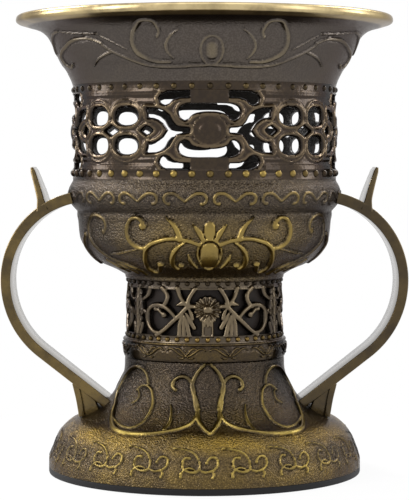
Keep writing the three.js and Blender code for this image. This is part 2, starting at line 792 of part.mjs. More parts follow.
// The thumb spur rises from the outside of the arc and leans outwards
function spurOutline() {
  const root = armPoint(armMiddleRadius, spurAtDegrees);
  const half = spurBaseThickness / 2;
  const tipHalf = spurTipThickness / 2;
  const tipZ = root[1] + spurLength;
  const tipX = root[0] + spurLean;
  const waistZ = root[1] + spurLength * spurWaistShare;
  const waistX = root[0] + spurLean * spurWaistLeanShare;
  return [
    [root[0] - half, root[1]],
    [root[0] + half, root[1] - half],
    [waistX + half, waistZ],
    [tipX + tipHalf, tipZ],
    [tipX, tipZ + tipHalf],
    [tipX - tipHalf, tipZ],
    [waistX - half, waistZ],
  ];
}

// A horizontal peg from the handle's upper end into the bowl's wall, as far in as endX
function peg(side, radius, endX) {
  const length = seatX - endX;
  const cylinder = new THREE.CylinderGeometry(radius, radius, length, smallFacets);
  cylinder.rotateZ(Math.PI / 2);
  cylinder.translate(seatX - length / 2, 0, pegZ);
  return solidOf(side > 0 ? cylinder : cylinder.rotateZ(Math.PI));
}

// Each leg screw comes up from inside the foot, its head against a boss, and bites into the leg
const legBossZ = flareFootZ - handleBossDepth;
const legScrewTopZ = flareFootZ + handleScrewBite;

function legScrewPin(side, radius, fromZ, toZ) {
  const pin = turned([[0, fromZ], [radius, fromZ], [radius, toZ], [0, toZ]], smallFacets);
  return pin.translate([side * legScrewX, 0, 0]);
}

function legScrew(side) {
  const head = legScrewPin(side, handleScrewHeadRadius, legBossZ - handleScrewHeadHeight, legBossZ);
  return head.add(legScrewPin(side, handleScrewRadius, legBossZ - handleScrewHeadHeight, legScrewTopZ));
}

function legScrewHole(side) {
  return legScrewPin(side, handleScrewRadius + seatGap, legBossZ - cutOverrun, legScrewTopZ + seatGap);
}

// The body of bowl and foot, grown by the seat gap, which trims the handles' ends to their seats
function grown(outline) {
  const [first] = outline;
  const last = outline[outline.length - 1];
  return turned([[0, first[1]], ...outline.map(([radius, z]) => [radius + seatGap, z]), [0, last[1]]]);
}

function handle(side) {
  const flip = side > 0 ? 0 : Math.PI;
  const strap = plate(armOutline(), armDepth);
  const leg = plate(legOutline(), (z) => armDepth(z) - legSetback * 2);
  const spur = plate(spurOutline(), armDepth);
  const body = strap.add(leg).add(spur).rotate([0, 0, THREE.MathUtils.radToDeg(flip)]);
  const footShadow = grown(footOutline).translate([0, 0, seatGap]);
  const trimmed = body.subtract(grown(bowlOutline)).subtract(footShadow).subtract(grown(footOutline));
  return trimmed.subtract(legScrewHole(side)).add(peg(side, pegRadius, galleryBore + seatGap));
}

const censer = new THREE.Group();
censer.add(
  piece('base_ring', baseRing(), ringBlack),
  piece('foot', foot(), footGold),
  piece('laurel_band', laurelBand(), brassRubbed),
  piece('neck_sleeve', neckSleeve(), innerBlack),
  piece('neck_collar', neckCollar(), bronze),
  piece('bowl', bowl(), bronze),
  piece('gallery_ring', galleryRing(), bronze),
  piece('rim_bell', rimBell(), bronze),
  piece('ember_dish', emberDish(), steel),
  piece('tie_bolt', tieBolt(), steel),
  piece('tie_washer', tieWasher(), steel),
  piece('tie_nut', tieNut(), steel),
  piece('handle_left', handle(-1), handleBronze),
  piece('handle_right', handle(1), handleBronze),
  piece('handle_screw_left', legScrew(-1), steel),
  piece('handle_screw_right', legScrew(1), steel),
);

export default censer;
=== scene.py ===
# A tabletop incense burner cast in antique bronze: bell mouth, pierced gallery, bowl, pierced neck,
# flared stem on a domed foot, two strap handles. Metres in the scene, millimetres in this file's sizes.
import math
import bpy
import numpy as np
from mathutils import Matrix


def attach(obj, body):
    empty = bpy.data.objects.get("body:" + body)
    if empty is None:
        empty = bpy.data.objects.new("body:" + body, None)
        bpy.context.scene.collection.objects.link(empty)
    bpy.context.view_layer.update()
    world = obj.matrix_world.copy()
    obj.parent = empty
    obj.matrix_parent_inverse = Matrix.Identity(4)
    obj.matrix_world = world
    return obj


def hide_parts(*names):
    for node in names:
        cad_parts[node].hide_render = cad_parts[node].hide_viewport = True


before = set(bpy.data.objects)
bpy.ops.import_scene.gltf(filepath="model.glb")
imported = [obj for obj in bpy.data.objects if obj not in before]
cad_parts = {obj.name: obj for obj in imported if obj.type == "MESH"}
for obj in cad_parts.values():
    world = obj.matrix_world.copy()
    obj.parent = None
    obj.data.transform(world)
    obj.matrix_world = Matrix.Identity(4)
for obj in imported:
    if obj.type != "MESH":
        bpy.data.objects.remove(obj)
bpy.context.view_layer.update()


# Camera: a product shot from the bowl's height with a long lens, the lens shifted down to frame it.
camera_data = bpy.data.cameras.new("camera")
camera_data.lens = 139.1
camera_data.sensor_width = 36
camera_data.shift_y = -0.1814
camera = bpy.data.objects.new("camera", camera_data)
camera.location = (0, -0.469, 0.0753)
camera.rotation_euler = (math.radians(90), 0, 0)
bpy.context.scene.collection.objects.link(camera)
bpy.context.scene.camera = camera
bpy.context.scene.view_settings.view_transform = "Standard"


# Studio: a white sweep, white all round for the eye and for gloss, and soft lamps in front, at the sides,
# behind and above. The floor keeps the burner's shadow: close to it the white is lit paint in part, and
# farther off it is plain white for the eye.
def linear(colour):
    channels = [int(colour[i:i + 2], 16) / 255 for i in (1, 3, 5)]
    return tuple(c / 12.92 if c <= 0.04045 else ((c + 0.055) / 1.055) ** 2.4 for c in channels) + (1,)


def set_inputs(tree, node, inputs):
    """Values or links for a node's inputs. A node given as input stands for its first live output."""
    for name, value in inputs.items():
        if isinstance(value, bpy.types.Node):
            value = next(socket for socket in value.outputs if socket.enabled)
        if isinstance(value, bpy.types.NodeSocket):
            tree.links.new(value, node.inputs[name])
        else:
            node.inputs[name].default_value = value


def add_node(tree, kind, inputs=None, **settings):
    node = tree.nodes.new(kind)
    for name, value in settings.items():
        setattr(node, name, value)
    set_inputs(tree, node, inputs or {})
    return node


def cleared_tree(holder):
    holder.use_nodes = True
    holder.node_tree.nodes.clear()
    return holder.node_tree


def seen_directly(tree):
    """1 for the eye's own rays and for those by gloss or through glass, 0 for light that falls on things."""
    path = add_node(tree, "ShaderNodeLightPath").outputs
    seen = path["Is Camera Ray"]
    for ray in ("Is Glossy Ray", "Is Transmission Ray"):
        seen = add_node(tree, "ShaderNodeMath", {0: seen, 1: path[ray]}, operation="MAXIMUM")
    return seen


studio_white = "#ffffff"
world_light = 0.42
floor_half = 3.0
floor_white_share = 0.9
shadow_reach, white_reach = 0.045, 0.11
floor_white = "#f4f4f4"

world = bpy.data.worlds.new("studio")
tree = cleared_tree(world)
strength = add_node(tree, "ShaderNodeMapRange", {"Value": seen_directly(tree), "To Min": world_light,
                                                 "To Max": 1.0})
sky = add_node(tree, "ShaderNodeBackground", {"Color": linear(studio_white), "Strength": strength})
add_node(tree, "ShaderNodeOutputWorld", {"Surface": sky})
bpy.context.scene.world = world

floor_mesh = bpy.data.meshes.new("floor")
floor_corners = [(x * floor_half, y * floor_half, 0) for x, y in [(-1, -1), (1, -1), (1, 1), (-1, 1)]]
floor_mesh.from_pydata(floor_corners, [], [(0, 1, 2, 3)])
floor = bpy.data.objects.new("floor", floor_mesh)
bpy.context.scene.collection.objects.link(floor)
floor_paint = bpy.data.materials.new("floor_white_paint")
tree = cleared_tree(floor_paint)
place = add_node(tree, "ShaderNodeTexCoord").outputs["Object"]
reach = add_node(tree, "ShaderNodeVectorMath", {0: place}, operation="LENGTH")
share = add_node(tree, "ShaderNodeMapRange", {"Value": reach, "From Min": shadow_reach, "From Max": white_reach,
                                              "To Min": floor_white_share})
plain = add_node(tree, "ShaderNodeMath", {0: seen_directly(tree), 1: share}, operation="MULTIPLY")
paint = add_node(tree, "ShaderNodeBsdfDiffuse", {"Color": linear(floor_white)})
glow = add_node(tree, "ShaderNodeEmission", {"Color": linear(studio_white), "Strength": 1.0})
mixed = add_node(tree, "ShaderNodeMixShader", {0: plain, 1: paint, 2: glow})
add_node(tree, "ShaderNodeOutputMaterial", {"Surface": mixed})
floor_mesh.materials.append(floor_paint)

for name, place, aim_level, width, height, watts in [
        ("lamp_left", (-0.62, -0.42, 0.40), 0.06, 0.25, 0.5, 2.8),
        ("lamp_right", (0.62, -0.42, 0.34), 0.06, 0.25, 0.6, 1.0),
        ("lamp_back_left", (-0.50, 0.36, 0.62), 0.05, 0.25, 0.3, 5.5),
        ("lamp_back_right", (0.50, 0.36, 0.62), 0.05, 0.25, 0.3, 3.2),
        ("lamp_side_left", (-0.70, 0.12, 0.20), 0.03, 0.2, 0.3, 1.4),
        ("lamp_side_right", (0.70, 0.12, 0.20), 0.03, 0.2, 0.3, 1.0),
        ("lamp_top", (0, -0.15, 0.75), 0.05, 0.7, 0.5, 1.4)]:
    light = bpy.data.lights.new(name, "AREA")
    light.shape, light.size, light.size_y, light.energy = "RECTANGLE", width, height, watts
    lamp = bpy.data.objects.new(name, light)
    lamp.location = place
    tilt = math.atan2(math.hypot(place[0], place[1]), place[2] - aim_level)
    lamp.rotation_euler = (tilt, 0, math.atan2(-place[1], -place[0]) - math.pi / 2)
    bpy.context.scene.collection.objects.link(lamp)


# Base ring: the black ring that the burner stands on. It is moulded in rubber, satin, with its corners
# rounded off, and glued under the edge of the foot.
millimetre = 0.001


def flow(points, step):
    """Points about one step apart on a smooth curve through the given ones."""
    points = np.asarray(points, float)
    gaps = np.hypot(*np.diff(points, axis=0).T)
    along = np.concatenate([[0], gaps.cumsum()])
    if len(points) > 2:
        slopes = np.gradient(points, along, axis=0)
    else:
        slopes = np.repeat(np.diff(points, axis=0) / gaps[0], 2, axis=0)
    at = np.linspace(0, along[-1], max(2, int(round(along[-1] / step)) + 1))
    k = np.clip(np.searchsorted(along, at, side="right") - 1, 0, len(gaps) - 1)
    t, h = ((at - along[k]) / gaps[k])[:, None], gaps[k][:, None]
    return ((2 * t ** 3 - 3 * t ** 2 + 1) * points[k] + (t ** 3 - 2 * t ** 2 + t) * h * slopes[k]
            + (3 * t ** 2 - 2 * t ** 3) * points[k + 1] + (t ** 3 - t ** 2) * h * slopes[k + 1])


def place_piece(name, points, faces, material, sharp_degrees=35, body="body", marks=None):
    """A finished piece from points in millimetres, smooth except along its sharp edges."""
    mesh = bpy.data.meshes.new(name)
    mesh.from_pydata((np.asarray(points) * millimetre).tolist(), [], [tuple(face) for face in faces])
    for mark, values in (marks or {}).items():
        mesh.attributes.new(mark, "FLOAT", "POINT").data.foreach_set("value",
                                                                     np.asarray(values, np.float32).ravel())
    mesh.shade_smooth()
    mesh.set_sharp_from_angle(angle=math.radians(sharp_degrees))
    mesh.materials.append(material)
    thing = bpy.data.objects.new(name, mesh)
    bpy.context.scene.collection.objects.link(thing)
    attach(thing, body)
    return thing


def ring_faces(rows, columns, close=True):
    """Quads of a turned grid, its rows following the outline and, when closed, joined end to start."""
    i, j = np.meshgrid(np.arange(rows if close else rows - 1), np.arange(columns), indexing="ij")
    below, above, right = i * columns, (i + 1) % rows * columns, (j + 1) % columns
    return np.stack([below + j, below + right, above + right, above + j], axis=-1).reshape(-1, 4)


def turns_round(columns):
    return np.arange(columns) * 2 * math.pi / columns


def spun(radius, turn, level):
    """One list of points at these radii, turns and levels."""
    radius, turn, level = np.broadcast_arrays(radius, turn, level)
    return np.stack([radius * np.cos(turn), radius * np.sin(turn), level], axis=-1).reshape(-1, 3)


def turned_points(outline, columns):
    outline = np.asarray(outline, float)
    return spun(outline[:, :1], turns_round(columns), outline[:, 1:])


def turned_ring(name, outline, columns, material):
    """A ring turned from a closed outline of (radius, level)."""
    return place_piece(name, turned_points(outline, columns), ring_faces(len(outline), columns), material)


def per_metre(size):
    """A pattern's scale from the size of its patches in millimetres: 100 / 9 puts nine of them in 100 mm."""
    return 1 / (size * millimetre)


def principled(name):
    """A new material, its tree and shader, and the place on the piece, which its patterns start from."""
    material = bpy.data.materials.new(name)
    material.use_nodes = True
    tree = material.node_tree
    return material, tree, tree.nodes["Principled BSDF"], add_node(tree, "ShaderNodeTexCoord").outputs["Object"]


foot_radius, ring_height, ring_width = 37.6, 1.6, 4.0
rubber_corner, corner_cut, top_chamfer = 0.35, 0.1, 0.15

# Moulded rubber: near black and satin, a little cloudy where it has been handled, over about 11 mm.
base_rubber, tree, shader, place = principled("moulded_rubber")
cloud = add_node(tree, "ShaderNodeTexNoise", {"Vector": place, "Scale": per_metre(100 / 9), "Detail": 3.0})
tint = add_node(tree, "ShaderNodeMix", {0: cloud, 6: linear("#0b0a0b"), 7: linear("#141314")}, data_type="RGBA")
satin = add_node(tree, "ShaderNodeMapRange", {"Value": cloud, "To Min": 0.55, "To Max": 0.75})
bump = add_node(tree, "ShaderNodeBump", {"Height": cloud, "Strength": 0.2, "Distance": 0.2 * millimetre})
set_inputs(tree, shader, {"Base Color": tint, "Roughness": satin, "Specular IOR Level": 0.3, "Normal": bump})

inner_edge = foot_radius - ring_width
ring_outline = [(inner_edge, rubber_corner), (inner_edge + rubber_corner, 0), (foot_radius - rubber_corner, 0),
                (foot_radius - corner_cut, corner_cut), (foot_radius, rubber_corner),
                (foot_radius, ring_height - top_chamfer), (foot_radius - top_chamfer, ring_height),
                (inner_edge, ring_height)]
base_ring = turned_ring("base_rubber_ring", ring_outline, 180, base_rubber)
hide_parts("base_ring")


# Foot: one zinc die casting, a dome that sweeps up into the flared stem, with scrolls in low relief. Its
# stippled ground is plated antique bronze, then rubbed back to brass on the dome and on every raised line; the
# bright brass band round the dome's top and on the two faces is partly painted highlight.
ornament_turn = math.radians(-90 + 2.3)
stroke_step, stroke_margin, full_relief, far_from_strokes = 0.35, 1.2, 0.35, 9.0
# Each raised line has a shallow trench beside it, and dirt lies in the corner between line and ground.
trench_depth, trench_middle, trench_width, corner_width, ground_limit = 0.12, 0.15, 0.22, 0.28, 0.12


def off_line(x, y, ax, ay, dx, dy):
    """For points and the straight pieces of a line: where along each the nearest spot is, and how far off."""
    t = (((x - ax) * dx + (y - ay) * dy) / np.maximum(dx ** 2 + dy ** 2, 1e-9)).clip(0, 1)
    return t, np.hypot(x - ax - t * dx, y - ay - t * dy)


class Relief:
    """A turned casting's outer face as a grid, with the height of its raised work in millimetres."""

    def __init__(self, outline, columns):
        self.outline = np.asarray(outline, float)
        steps = np.hypot(*np.diff(self.outline, axis=0).T)
        self.along = np.concatenate([[0], steps.cumsum()])
        self.columns, self.turn = columns, turns_round(columns)
        self.height = np.zeros((len(outline), columns))
        self.near = np.full((len(outline), columns), far_from_strokes)
        tangent = np.gradient(self.outline, axis=0)
        tangent /= np.hypot(*tangent.T)[:, None]
        self.normal = np.stack([tangent[:, 1], -tangent[:, 0]], axis=1)

    def line(self, points):
        """A drawn line's points as (turn from the motif's middle, way along the outline)."""
        degrees, level = np.asarray(points, float).T
        way = np.interp(level, self.outline[:, 1], self.along)
        radius = np.interp(level, self.outline[:, 1], self.outline[:, 0]).mean()
        flat = np.stack([np.radians(degrees) * radius, way], axis=1)
        flat = flow(flat, stroke_step) if len(flat) > 1 else flat
        return np.stack([flat[:, 0] / radius, flat[:, 1]], axis=1)

    def press(self, points, widths, rise, turns, mirrored=True):
        """Raise a tapering line, half a width each side, at each turn and, when mirrored, on both hands."""
        drawn = self.line(points)
        half = np.interp(np.linspace(0, 1, len(drawn)), np.linspace(0, 1, len(widths)), widths)
        if len(drawn) == 1:
            drawn, half = np.repeat(drawn, 2, axis=0), np.repeat(half, 2)
        reach = max(widths) + stroke_margin
        first, last = np.searchsorted(self.along, [drawn[:, 1].min() - reach, drawn[:, 1].max() + reach])
        rows = np.arange(first, last)[:, None]
        radius = self.outline[first:last, 0][:, None, None]
        way = self.along[first:last][:, None, None]
        pitch, margin = 2 * math.pi / self.columns, reach / radius.min()
        ay, by = drawn[:-1, 1], drawn[1:, 1]
        for turn in turns:
            for hand in ((1, -1) if mirrored else (1,)):
                at = turn + hand * drawn[:, 0]
                spots = np.arange(math.floor((at.min() - margin) / pitch),
                                  math.ceil((at.max() + margin) / pitch) + 1)
                x = (spots * pitch)[None, :, None] * radius
                ax, bx = at[:-1] * radius, at[1:] * radius
                t, far = off_line(x, way, ax, ay, bx - ax, by - ay)
                width = half[:-1] + t * (half[1:] - half[:-1])
                lift = rise * np.sqrt(np.clip(1 - (far / width).min(axis=2) ** 2, 0, 1))
                gap = (far - width).min(axis=2)
                columns = spots % self.columns
                self.height[rows, columns] = np.maximum(self.height[rows, columns], lift)
                self.near[rows, columns] = np.minimum(self.near[rows, columns], gap)

    def press_all(self, strokes, turns, slim=1.0, rise_share=1.0):
        """Each stroke as (points, widths, rise), with False after it when it isn't mirrored."""
        for points, widths, rise, *mirrored in strokes:
            self.press(points, [slim * width for width in widths], rise_share * rise, turns, *mirrored)

    def press_fading(self, strokes, turns, side_rise, gain, slim=1.0, power=1.0, mirrored=True):
        """Each stroke as (points, widths), with its rise at the sides and what the two faces add to it."""
        for points, widths in strokes:
            for turn in turns:
                rise = side_rise + gain * abs(math.cos(turn - ornament_turn)) ** power
                self.press(points, [slim * width for width in widths], rise, [turn], mirrored)

    def casting(self, name, inner, material, rub_and_sheen, inside=1.0, gilt=0.6, bright=0):
        """The closed casting: the worked outer face, then the plain inner outline back to the start."""
        trench = trench_depth * np.exp(-((self.near - trench_middle) / trench_width) ** 2) * (self.near > 0)
        lift = self.height - trench
        inner = np.asarray(inner, float)[:, :, None] + np.zeros(self.columns)
        radius = np.vstack([self.outline[:, :1] + lift * self.normal[:, :1], inner[:, 0]])
        level = np.vstack([self.outline[:, 1:] + lift * self.normal[:, 1:], inner[:, 1]])
        points = spun(radius, self.turn, level)
        relief = np.clip(self.height / full_relief + bright, 0, 1)
        edge = np.exp(-(self.near.clip(0) / corner_width) ** 2) * (self.height < ground_limit)
        # Brass on the raised lines, most where they face the front: rubbed wear, with painted sheen towards the
        # two faces.
        rub_and_sheen = np.clip(rub_and_sheen + gilt * relief * self.facing() ** 2, 0, 1)
        blank = np.zeros((len(inner), self.columns))
        marks = {"relief": relief, "edge": edge, "rub_and_sheen": rub_and_sheen}
        marks = {mark: np.vstack([value, blank]) for mark, value in marks.items()}
        marks["inside"] = np.vstack([np.zeros_like(rub_and_sheen), blank + inside])
        # The front mark carries the painted side light: the bronze keeps its ground on the two faces and turns
        # to the set side colour away from them.
        marks["front"] = np.repeat(self.facing() ** 1.5, len(radius), axis=0)
        faces = ring_faces(len(radius), self.columns)
        return place_piece(name, points, faces, material, sharp_degrees=60, marks=marks)

    def wear_and_sheen(self, levels, shares, side=1.0, power=1):
        """A share for each level, all of it on the two faces and only so much of it at the sides, the faces'
        extra as painted sheen.
        """
        return np.interp(self.outline[:, 1:], levels, shares) * (side + (1 - side) * self.facing() ** power)

    def facing(self):
        """How squarely each column faces the front, 1 at the ornament's middle, 0 at the sides."""
        return np.abs(np.cos(self.turn - ornament_turn))[None, :]


# Antique bronze plate on cast zinc: a brown-black patina with a lighter grit in its stipple, brass where it is
# rubbed and, more of it on the two faces, as painted sheen, dark in the corners, under a thin lacquer. Away
# from the two faces the ground and grit give way to a set side colour, painted light and shade for the
# turned-away sides. The stipple's grains are about 0.4 mm, coarser than real ones so that they show.
lacquer_weight, lacquer_rough, patina_glance = 0.35, 0.18, "#9d958f"
cloud_size, grit_depth, fleck_floor = 9.0, 0.4, 0.6
# Painted shade: the inner faces, seen through the windows, go near black and less glossy, and the bell's inside
# only in part.
corner_dark, inner_shade = "#100c09", "#141210"


def antique_bronze(name, ground, far, grit, speck, crest, grain=0.38, ground_rough=0.36, crest_rough=0.28,
                   stipple=0.8, etch=0.6):
    material, tree, shader, place = principled(name)
    relief, edge, rub_and_sheen, inside, front = (
        add_node(tree, "ShaderNodeAttribute", attribute_name=mark).outputs["Fac"]
        for mark in ("relief", "edge", "rub_and_sheen", "inside", "front"))
    fine, cloud = (
        add_node(tree, "ShaderNodeTexNoise", {"Vector": place, "Scale": per_metre(size), "Detail": detail,
                                              "Roughness": breakup})
        for size, detail, breakup in [(grain, 1.0, 0.5), (cloud_size, 4.0, 0.6)])
    grains, patches, wear_and_sheen, gold, rough, metal, depth = (
        add_node(tree, "ShaderNodeMapRange", {"Value": value, "From Min": low, "From Max": high,
                                              "To Min": start, "To Max": end})
        for value, low, high, start, end in [
            (fine, 0.42, 0.62, 0, 1), (cloud, 0.35, 0.65, 0.4, 1.3), (relief, 0.25, 0.95, 0, 1),
            (rub_and_sheen, 0, 1, 0.1, 1), (relief, 0, 1, ground_rough, crest_rough), (inside, 0, 1, 1.0, 0.3),
            (relief, 0, 1, stipple, stipple * 0.15)])
    fleck = add_node(tree, "ShaderNodeMapRange", {"Value": grains, "To Min": fleck_floor, "To Max": 1.0})
    # Painted light: the base starts from the set side colour, and ground and grit cover it only as far as the
    # front mark reaches.
    base = linear(far)
    for factors, colour in [([front], ground), ([grains, front], grit), ([rub_and_sheen, patches, fleck], speck),
                            ([wear_and_sheen, patches, gold], crest), ([edge, etch], corner_dark), ([inside], inner_shade)]:
        share = factors[0]
        for factor in factors[1:]:
            share = add_node(tree, "ShaderNodeMath", {0: share, 1: factor}, operation="MULTIPLY",
                             use_clamp=True)
        base = add_node(tree, "ShaderNodeMix", {0: share, 6: base, 7: linear(colour)}, data_type="RGBA")
    bump = add_node(tree, "ShaderNodeBump", {"Height": fine, "Strength": depth,
                                             "Distance": grit_depth * millimetre})
    set_inputs(tree, shader, {"Base Color": base, "Roughness": rough, "Metallic": metal, "Normal": bump,
                              "Specular Tint": linear(patina_glance), "Coat Normal": bump,
                              "Coat Weight": lacquer_weight, "Coat Roughness": lacquer_rough})
    return material


foot_bronze = antique_bronze("stippled_bronze_foot", "#241c17", "#221e1c", "#3a3028", "#8c7228", "#93803f",
                             ground_rough=0.28, etch=0.5)

bolt_hole, web_level, stem_top = 2.8, 24.9, 27.9
dome_line = [(37.6, 3.5), (37.35, 4.4), (36.85, 5.55), (36.05, 7.6), (35.15, 9.5), (34.4, 10.5), (33.4, 11.5),
             (32.2, 12.4), (31, 12.95), (29.6, 13.35)]
flare_line = [(29.6, 13.35), (27.4, 14.35), (24.5, 16.4), (22.55, 18.3), (21.3, 20.2), (20.3, 22),
              (19.65, 23.6), (19.35, 25.2), (19.3, 27)]
foot_outline = np.vstack([[(37.6, 1.6)], flow(dome_line, 0.2), flow(flare_line, 0.2)[1:],
                          [(19.25, 27.6), (19, 27.9)]])
foot_relief = Relief(foot_outline, columns=720)
two_faces = [ornament_turn, ornament_turn + math.pi]

scroll_turns = [ornament_turn + math.radians(18 * k) for k in range(20)]
foot_scrolls = [
    ([(-13.8, 10.2), (-11.4, 10.1), (-9.1, 9.9), (-6.9, 9.5), (-5.3, 8.75), (-4.2, 7.6), (-3.9, 6.4),
      (-5.1, 5.3), (-7.4, 5.25), (-9.3, 5.7), (-10.2, 6.6), (-9.9, 7.7), (-8.9, 8.3), (-7.8, 8.2)],
     [0.3, 0.45, 0.5, 0.5, 0.5]),
    ([(-3.9, 5.7), (-2.4, 5.2), (-1, 5.3), (0.9, 5.7), (2.3, 6.6), (2.5, 7.7), (1.3, 8.4), (-0.2, 8.3),
      (-1.2, 7.6)], [0.45, 0.5, 0.5]),
    ([(-5.1, 5.3), (-6.6, 6), (-8.1, 6.1), (-9.6, 5.6), (-10.6, 4.9), (-10.6, 4.1)], [0.4, 0.45, 0.45]),
    ([(-3.5, 5.5), (-1.4, 5.3), (0.1, 5.5), (1, 4.9), (0.6, 4)], [0.4, 0.45, 0.45]),
    ([(-7.8, 8.2)], [0.75]), ([(-1.4, 7.2)], [0.7]), ([(-10.4, 4.2)], [0.6]), ([(0.5, 4.1)], [0.6])]
foot_relief.press_fading(foot_scrolls, scroll_turns, side_rise=0.12, gain=0.2, slim=0.6, mirrored=False)

stem_vines = [
    ([(0, 27.6), (2.6, 27.3), (4.8, 26.6), (7.6, 25.4), (9.6, 24), (10.6, 22.7), (9.8, 21.3), (7.8, 19.8),
      (6.5, 18.3), (6, 16.6), (5.2, 15.2), (3, 14.1), (0, 13)], [0.55, 0.7, 0.75, 0.75, 0.8, 0.75], 0.7),
    ([(6, 16.6), (7.6, 18.2), (8.4, 19.8), (9.6, 21.8), (12.2, 23.8), (16.2, 24.6), (20.6, 24.4), (23.8, 23.4),
      (23.6, 22.2), (21.4, 21.6)],
     [0.5, 0.65, 0.7, 0.7, 0.6, 0.75], 0.65),
    ([(5.6, 17.6), (6.6, 16.2), (8.7, 14.85), (12.2, 14), (17.5, 13.3), (24, 12.8), (31, 12.55), (38.1, 12.6),
      (44, 13), (50.5, 13.7), (56, 14.6), (61, 15.8), (66, 17.2), (71.5, 18.5), (75.6, 20.2), (76.6, 21.9),
      (74.5, 23.4), (69.5, 24.8), (63, 25.8), (56, 26.1), (50.5, 25.7), (46, 24.5), (43.2, 22.6)],
     [0.55, 0.75, 0.8, 0.8, 0.8, 0.8, 0.7, 0.6, 0.5], 0.7),
    ([(22.5, 18.3), (21.2, 17.2), (20.4, 16.2), (19.9, 14.9), (20.6, 13.4)], [0.25, 0.5, 0.65], 0.55),
    ([(59.8, 15.35), (53.3, 14.5), (47.5, 13.9), (42, 13.5), (37.4, 13.4), (34.6, 14.2), (33.7, 15.8),
      (34, 17.4), (36, 19.6), (39.5, 21.4), (44.3, 22.1), (48.6, 21.9), (51.8, 20.9)],
     [0.3, 0.4, 0.5, 0.55, 0.55, 0.5, 0.4], 0.5),
    ([(51.1, 21.1), (48, 20.2), (47.6, 18.8), (50.4, 18)], [0.35, 0.4, 0.3], 0.4)]
foot_relief.press_all(stem_vines, two_faces, slim=0.76, rise_share=0.75)

# Brass by level and towards the two faces: rubbed wear on the dome and its edge, with the bright band at the
# dome's top and the faces' extra share as painted highlight.
foot_rub_and_sheen = foot_relief.wear_and_sheen([1.6, 3.4, 4.6, 6.0, 8.2, 9.6, 11.0, 12.4, 13.4, 18, 28],
                            [0.35, 0.4, 0.35, 0.25, 0.25, 0.55, 0.85, 0.8, 0.35, 0.1, 0.06], side=0.65)
foot_gilt = foot_relief.wear_and_sheen([2, 12, 15, 19, 23, 28], [0.6, 0.6, 0.5, 0.35, 0.1, 0.1])
foot_inner = [(bolt_hole, stem_top), (bolt_hole, web_level), (17.1, web_level), (17.8, 19.8), (22.2, 14.8),
              (27.4, 11.2), (32.2, 9.2), (34.4, 6), (35.4, 3.2), (35.4, 1.6)]
foot = foot_relief.casting("foot_casting", foot_inner, foot_bronze, foot_rub_and_sheen, gilt=foot_gilt)
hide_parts("foot")
boss_radius, boss_bore, boss_foot, boss_root, screw_reach = 3.6, 2.2, 10.4, 13.2, 26.4
boss_outline = [(boss_bore, boss_foot), (boss_radius, boss_foot), (boss_radius, boss_root),
                (boss_bore, boss_root)]
for side, boss_name in [(-1, "foot_screw_boss_left"), (1, "foot_screw_boss_right")]:
    boss_points = turned_points(boss_outline, 48) + (side * screw_reach, 0, 0)
    # The bosses sit inside the hollow foot and take the inner faces' painted shade.
    dark_marks = {"relief": np.zeros(len(boss_points)), "inside": np.ones(len(boss_points))}
    screw_boss = place_piece(boss_name, boss_points, ring_faces(4, 48), foot_bronze, marks=dark_marks)


# Laurel band: the ring between stem and neck, cast in the same bronze-plated zinc, with a swelling face and
# twelve pairs of laurel sprigs raised on it. It sits on the stem, clamped by the tie bolt.
laurel_outline = np.vstack([
    [(19.3, 27.9)],
    flow([(19.4, 27.95), (19.6, 28.5), (19.75, 29.3), (19.8, 30.2), (19.7, 31.1), (19.5, 31.6)], 0.12),
    flow([(19.5, 31.7), (19.7, 31.85), (19.75, 32.05), (19.6, 32.3)], 0.12)])
laurel_relief = Relief(laurel_outline, columns=720)
node_turns = [ornament_turn + math.radians(15 + 30 * k) for k in range(12)]
sprigs = [
    ([(0.6, 29.4), (2.4, 29.5), (4.5, 29.9), (6.6, 30.4), (8.5, 30.9), (10.4, 31.15), (12.2, 31.1),
      (13.4, 30.7)], [0.2, 0.32, 0.32, 0.3, 0.2], 0.4),
    ([(0.8, 29.8), (2, 30.2), (3.4, 30.8), (5.4, 31.2), (6.8, 31.1)], [0.2, 0.34, 0.3], 0.4),
    ([(1.2, 29.1), (3.4, 28.8), (5.6, 29.1)], [0.15, 0.28, 0.15], 0.35),
    ([(0, 29.5)], [0.4], 0.45), ([(0, 30.6)], [0.3], 0.4)]
laurel_relief.press_all(sprigs, node_turns, slim=0.72, rise_share=0.6)
# Brass by level, most on the top rim and mostly on the two faces: rubbed wear, with painted sheen towards the
# faces.
laurel_rub_and_sheen = laurel_relief.wear_and_sheen([27.9, 28.6, 29.5, 30.8, 31.6, 31.9, 32.3],
                                [0.2, 0.55, 0.6, 0.45, 0.2, 1.0, 0.9], side=0.3, power=2)
laurel_bronze = antique_bronze("satin_bronze_laurel", "#2a211a", "#171310", "#342a1f", "#5c4a22", "#705d34",
                               ground_rough=0.3, stipple=0.2, etch=0.3)
laurel = laurel_relief.casting("laurel_band_casting", [(13.5, 32.3), (13.5, 27.9)], laurel_bronze, laurel_rub_and_sheen)
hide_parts("laurel_band")


# Neck sleeve: the plain tube that carries the bowl on the stem, seen through the collar. It is steel, cut to
# length, lacquered matt black, and clamped by the tie bolt.
# Matt black lacquer: dead dark with a faint brown dust, in clouds of about 2 mm.
sleeve_black, tree, shader, place = principled("matt_black_lacquer")
dust = add_node(tree, "ShaderNodeTexNoise", {"Vector": place, "Scale": per_metre(2), "Detail": 3.0})
tint = add_node(tree, "ShaderNodeMix", {0: dust, 6: linear("#16110e"), 7: linear("#2a211b")}, data_type="RGBA")
bump = add_node(tree, "ShaderNodeBump", {"Height": dust, "Strength": 0.3, "Distance": 0.1 * millimetre})
set_inputs(tree, shader, {"Base Color": tint, "Roughness": 0.65, "Specular IOR Level": 0.25, "Normal": bump})
sleeve_outline = [(15.2, 32.3), (17.2, 32.3), (17.2, 46.5), (15.2, 46.5)]
sleeve = turned_ring("neck_steel_sleeve", sleeve_outline, 120, sleeve_black)
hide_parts("neck_sleeve")


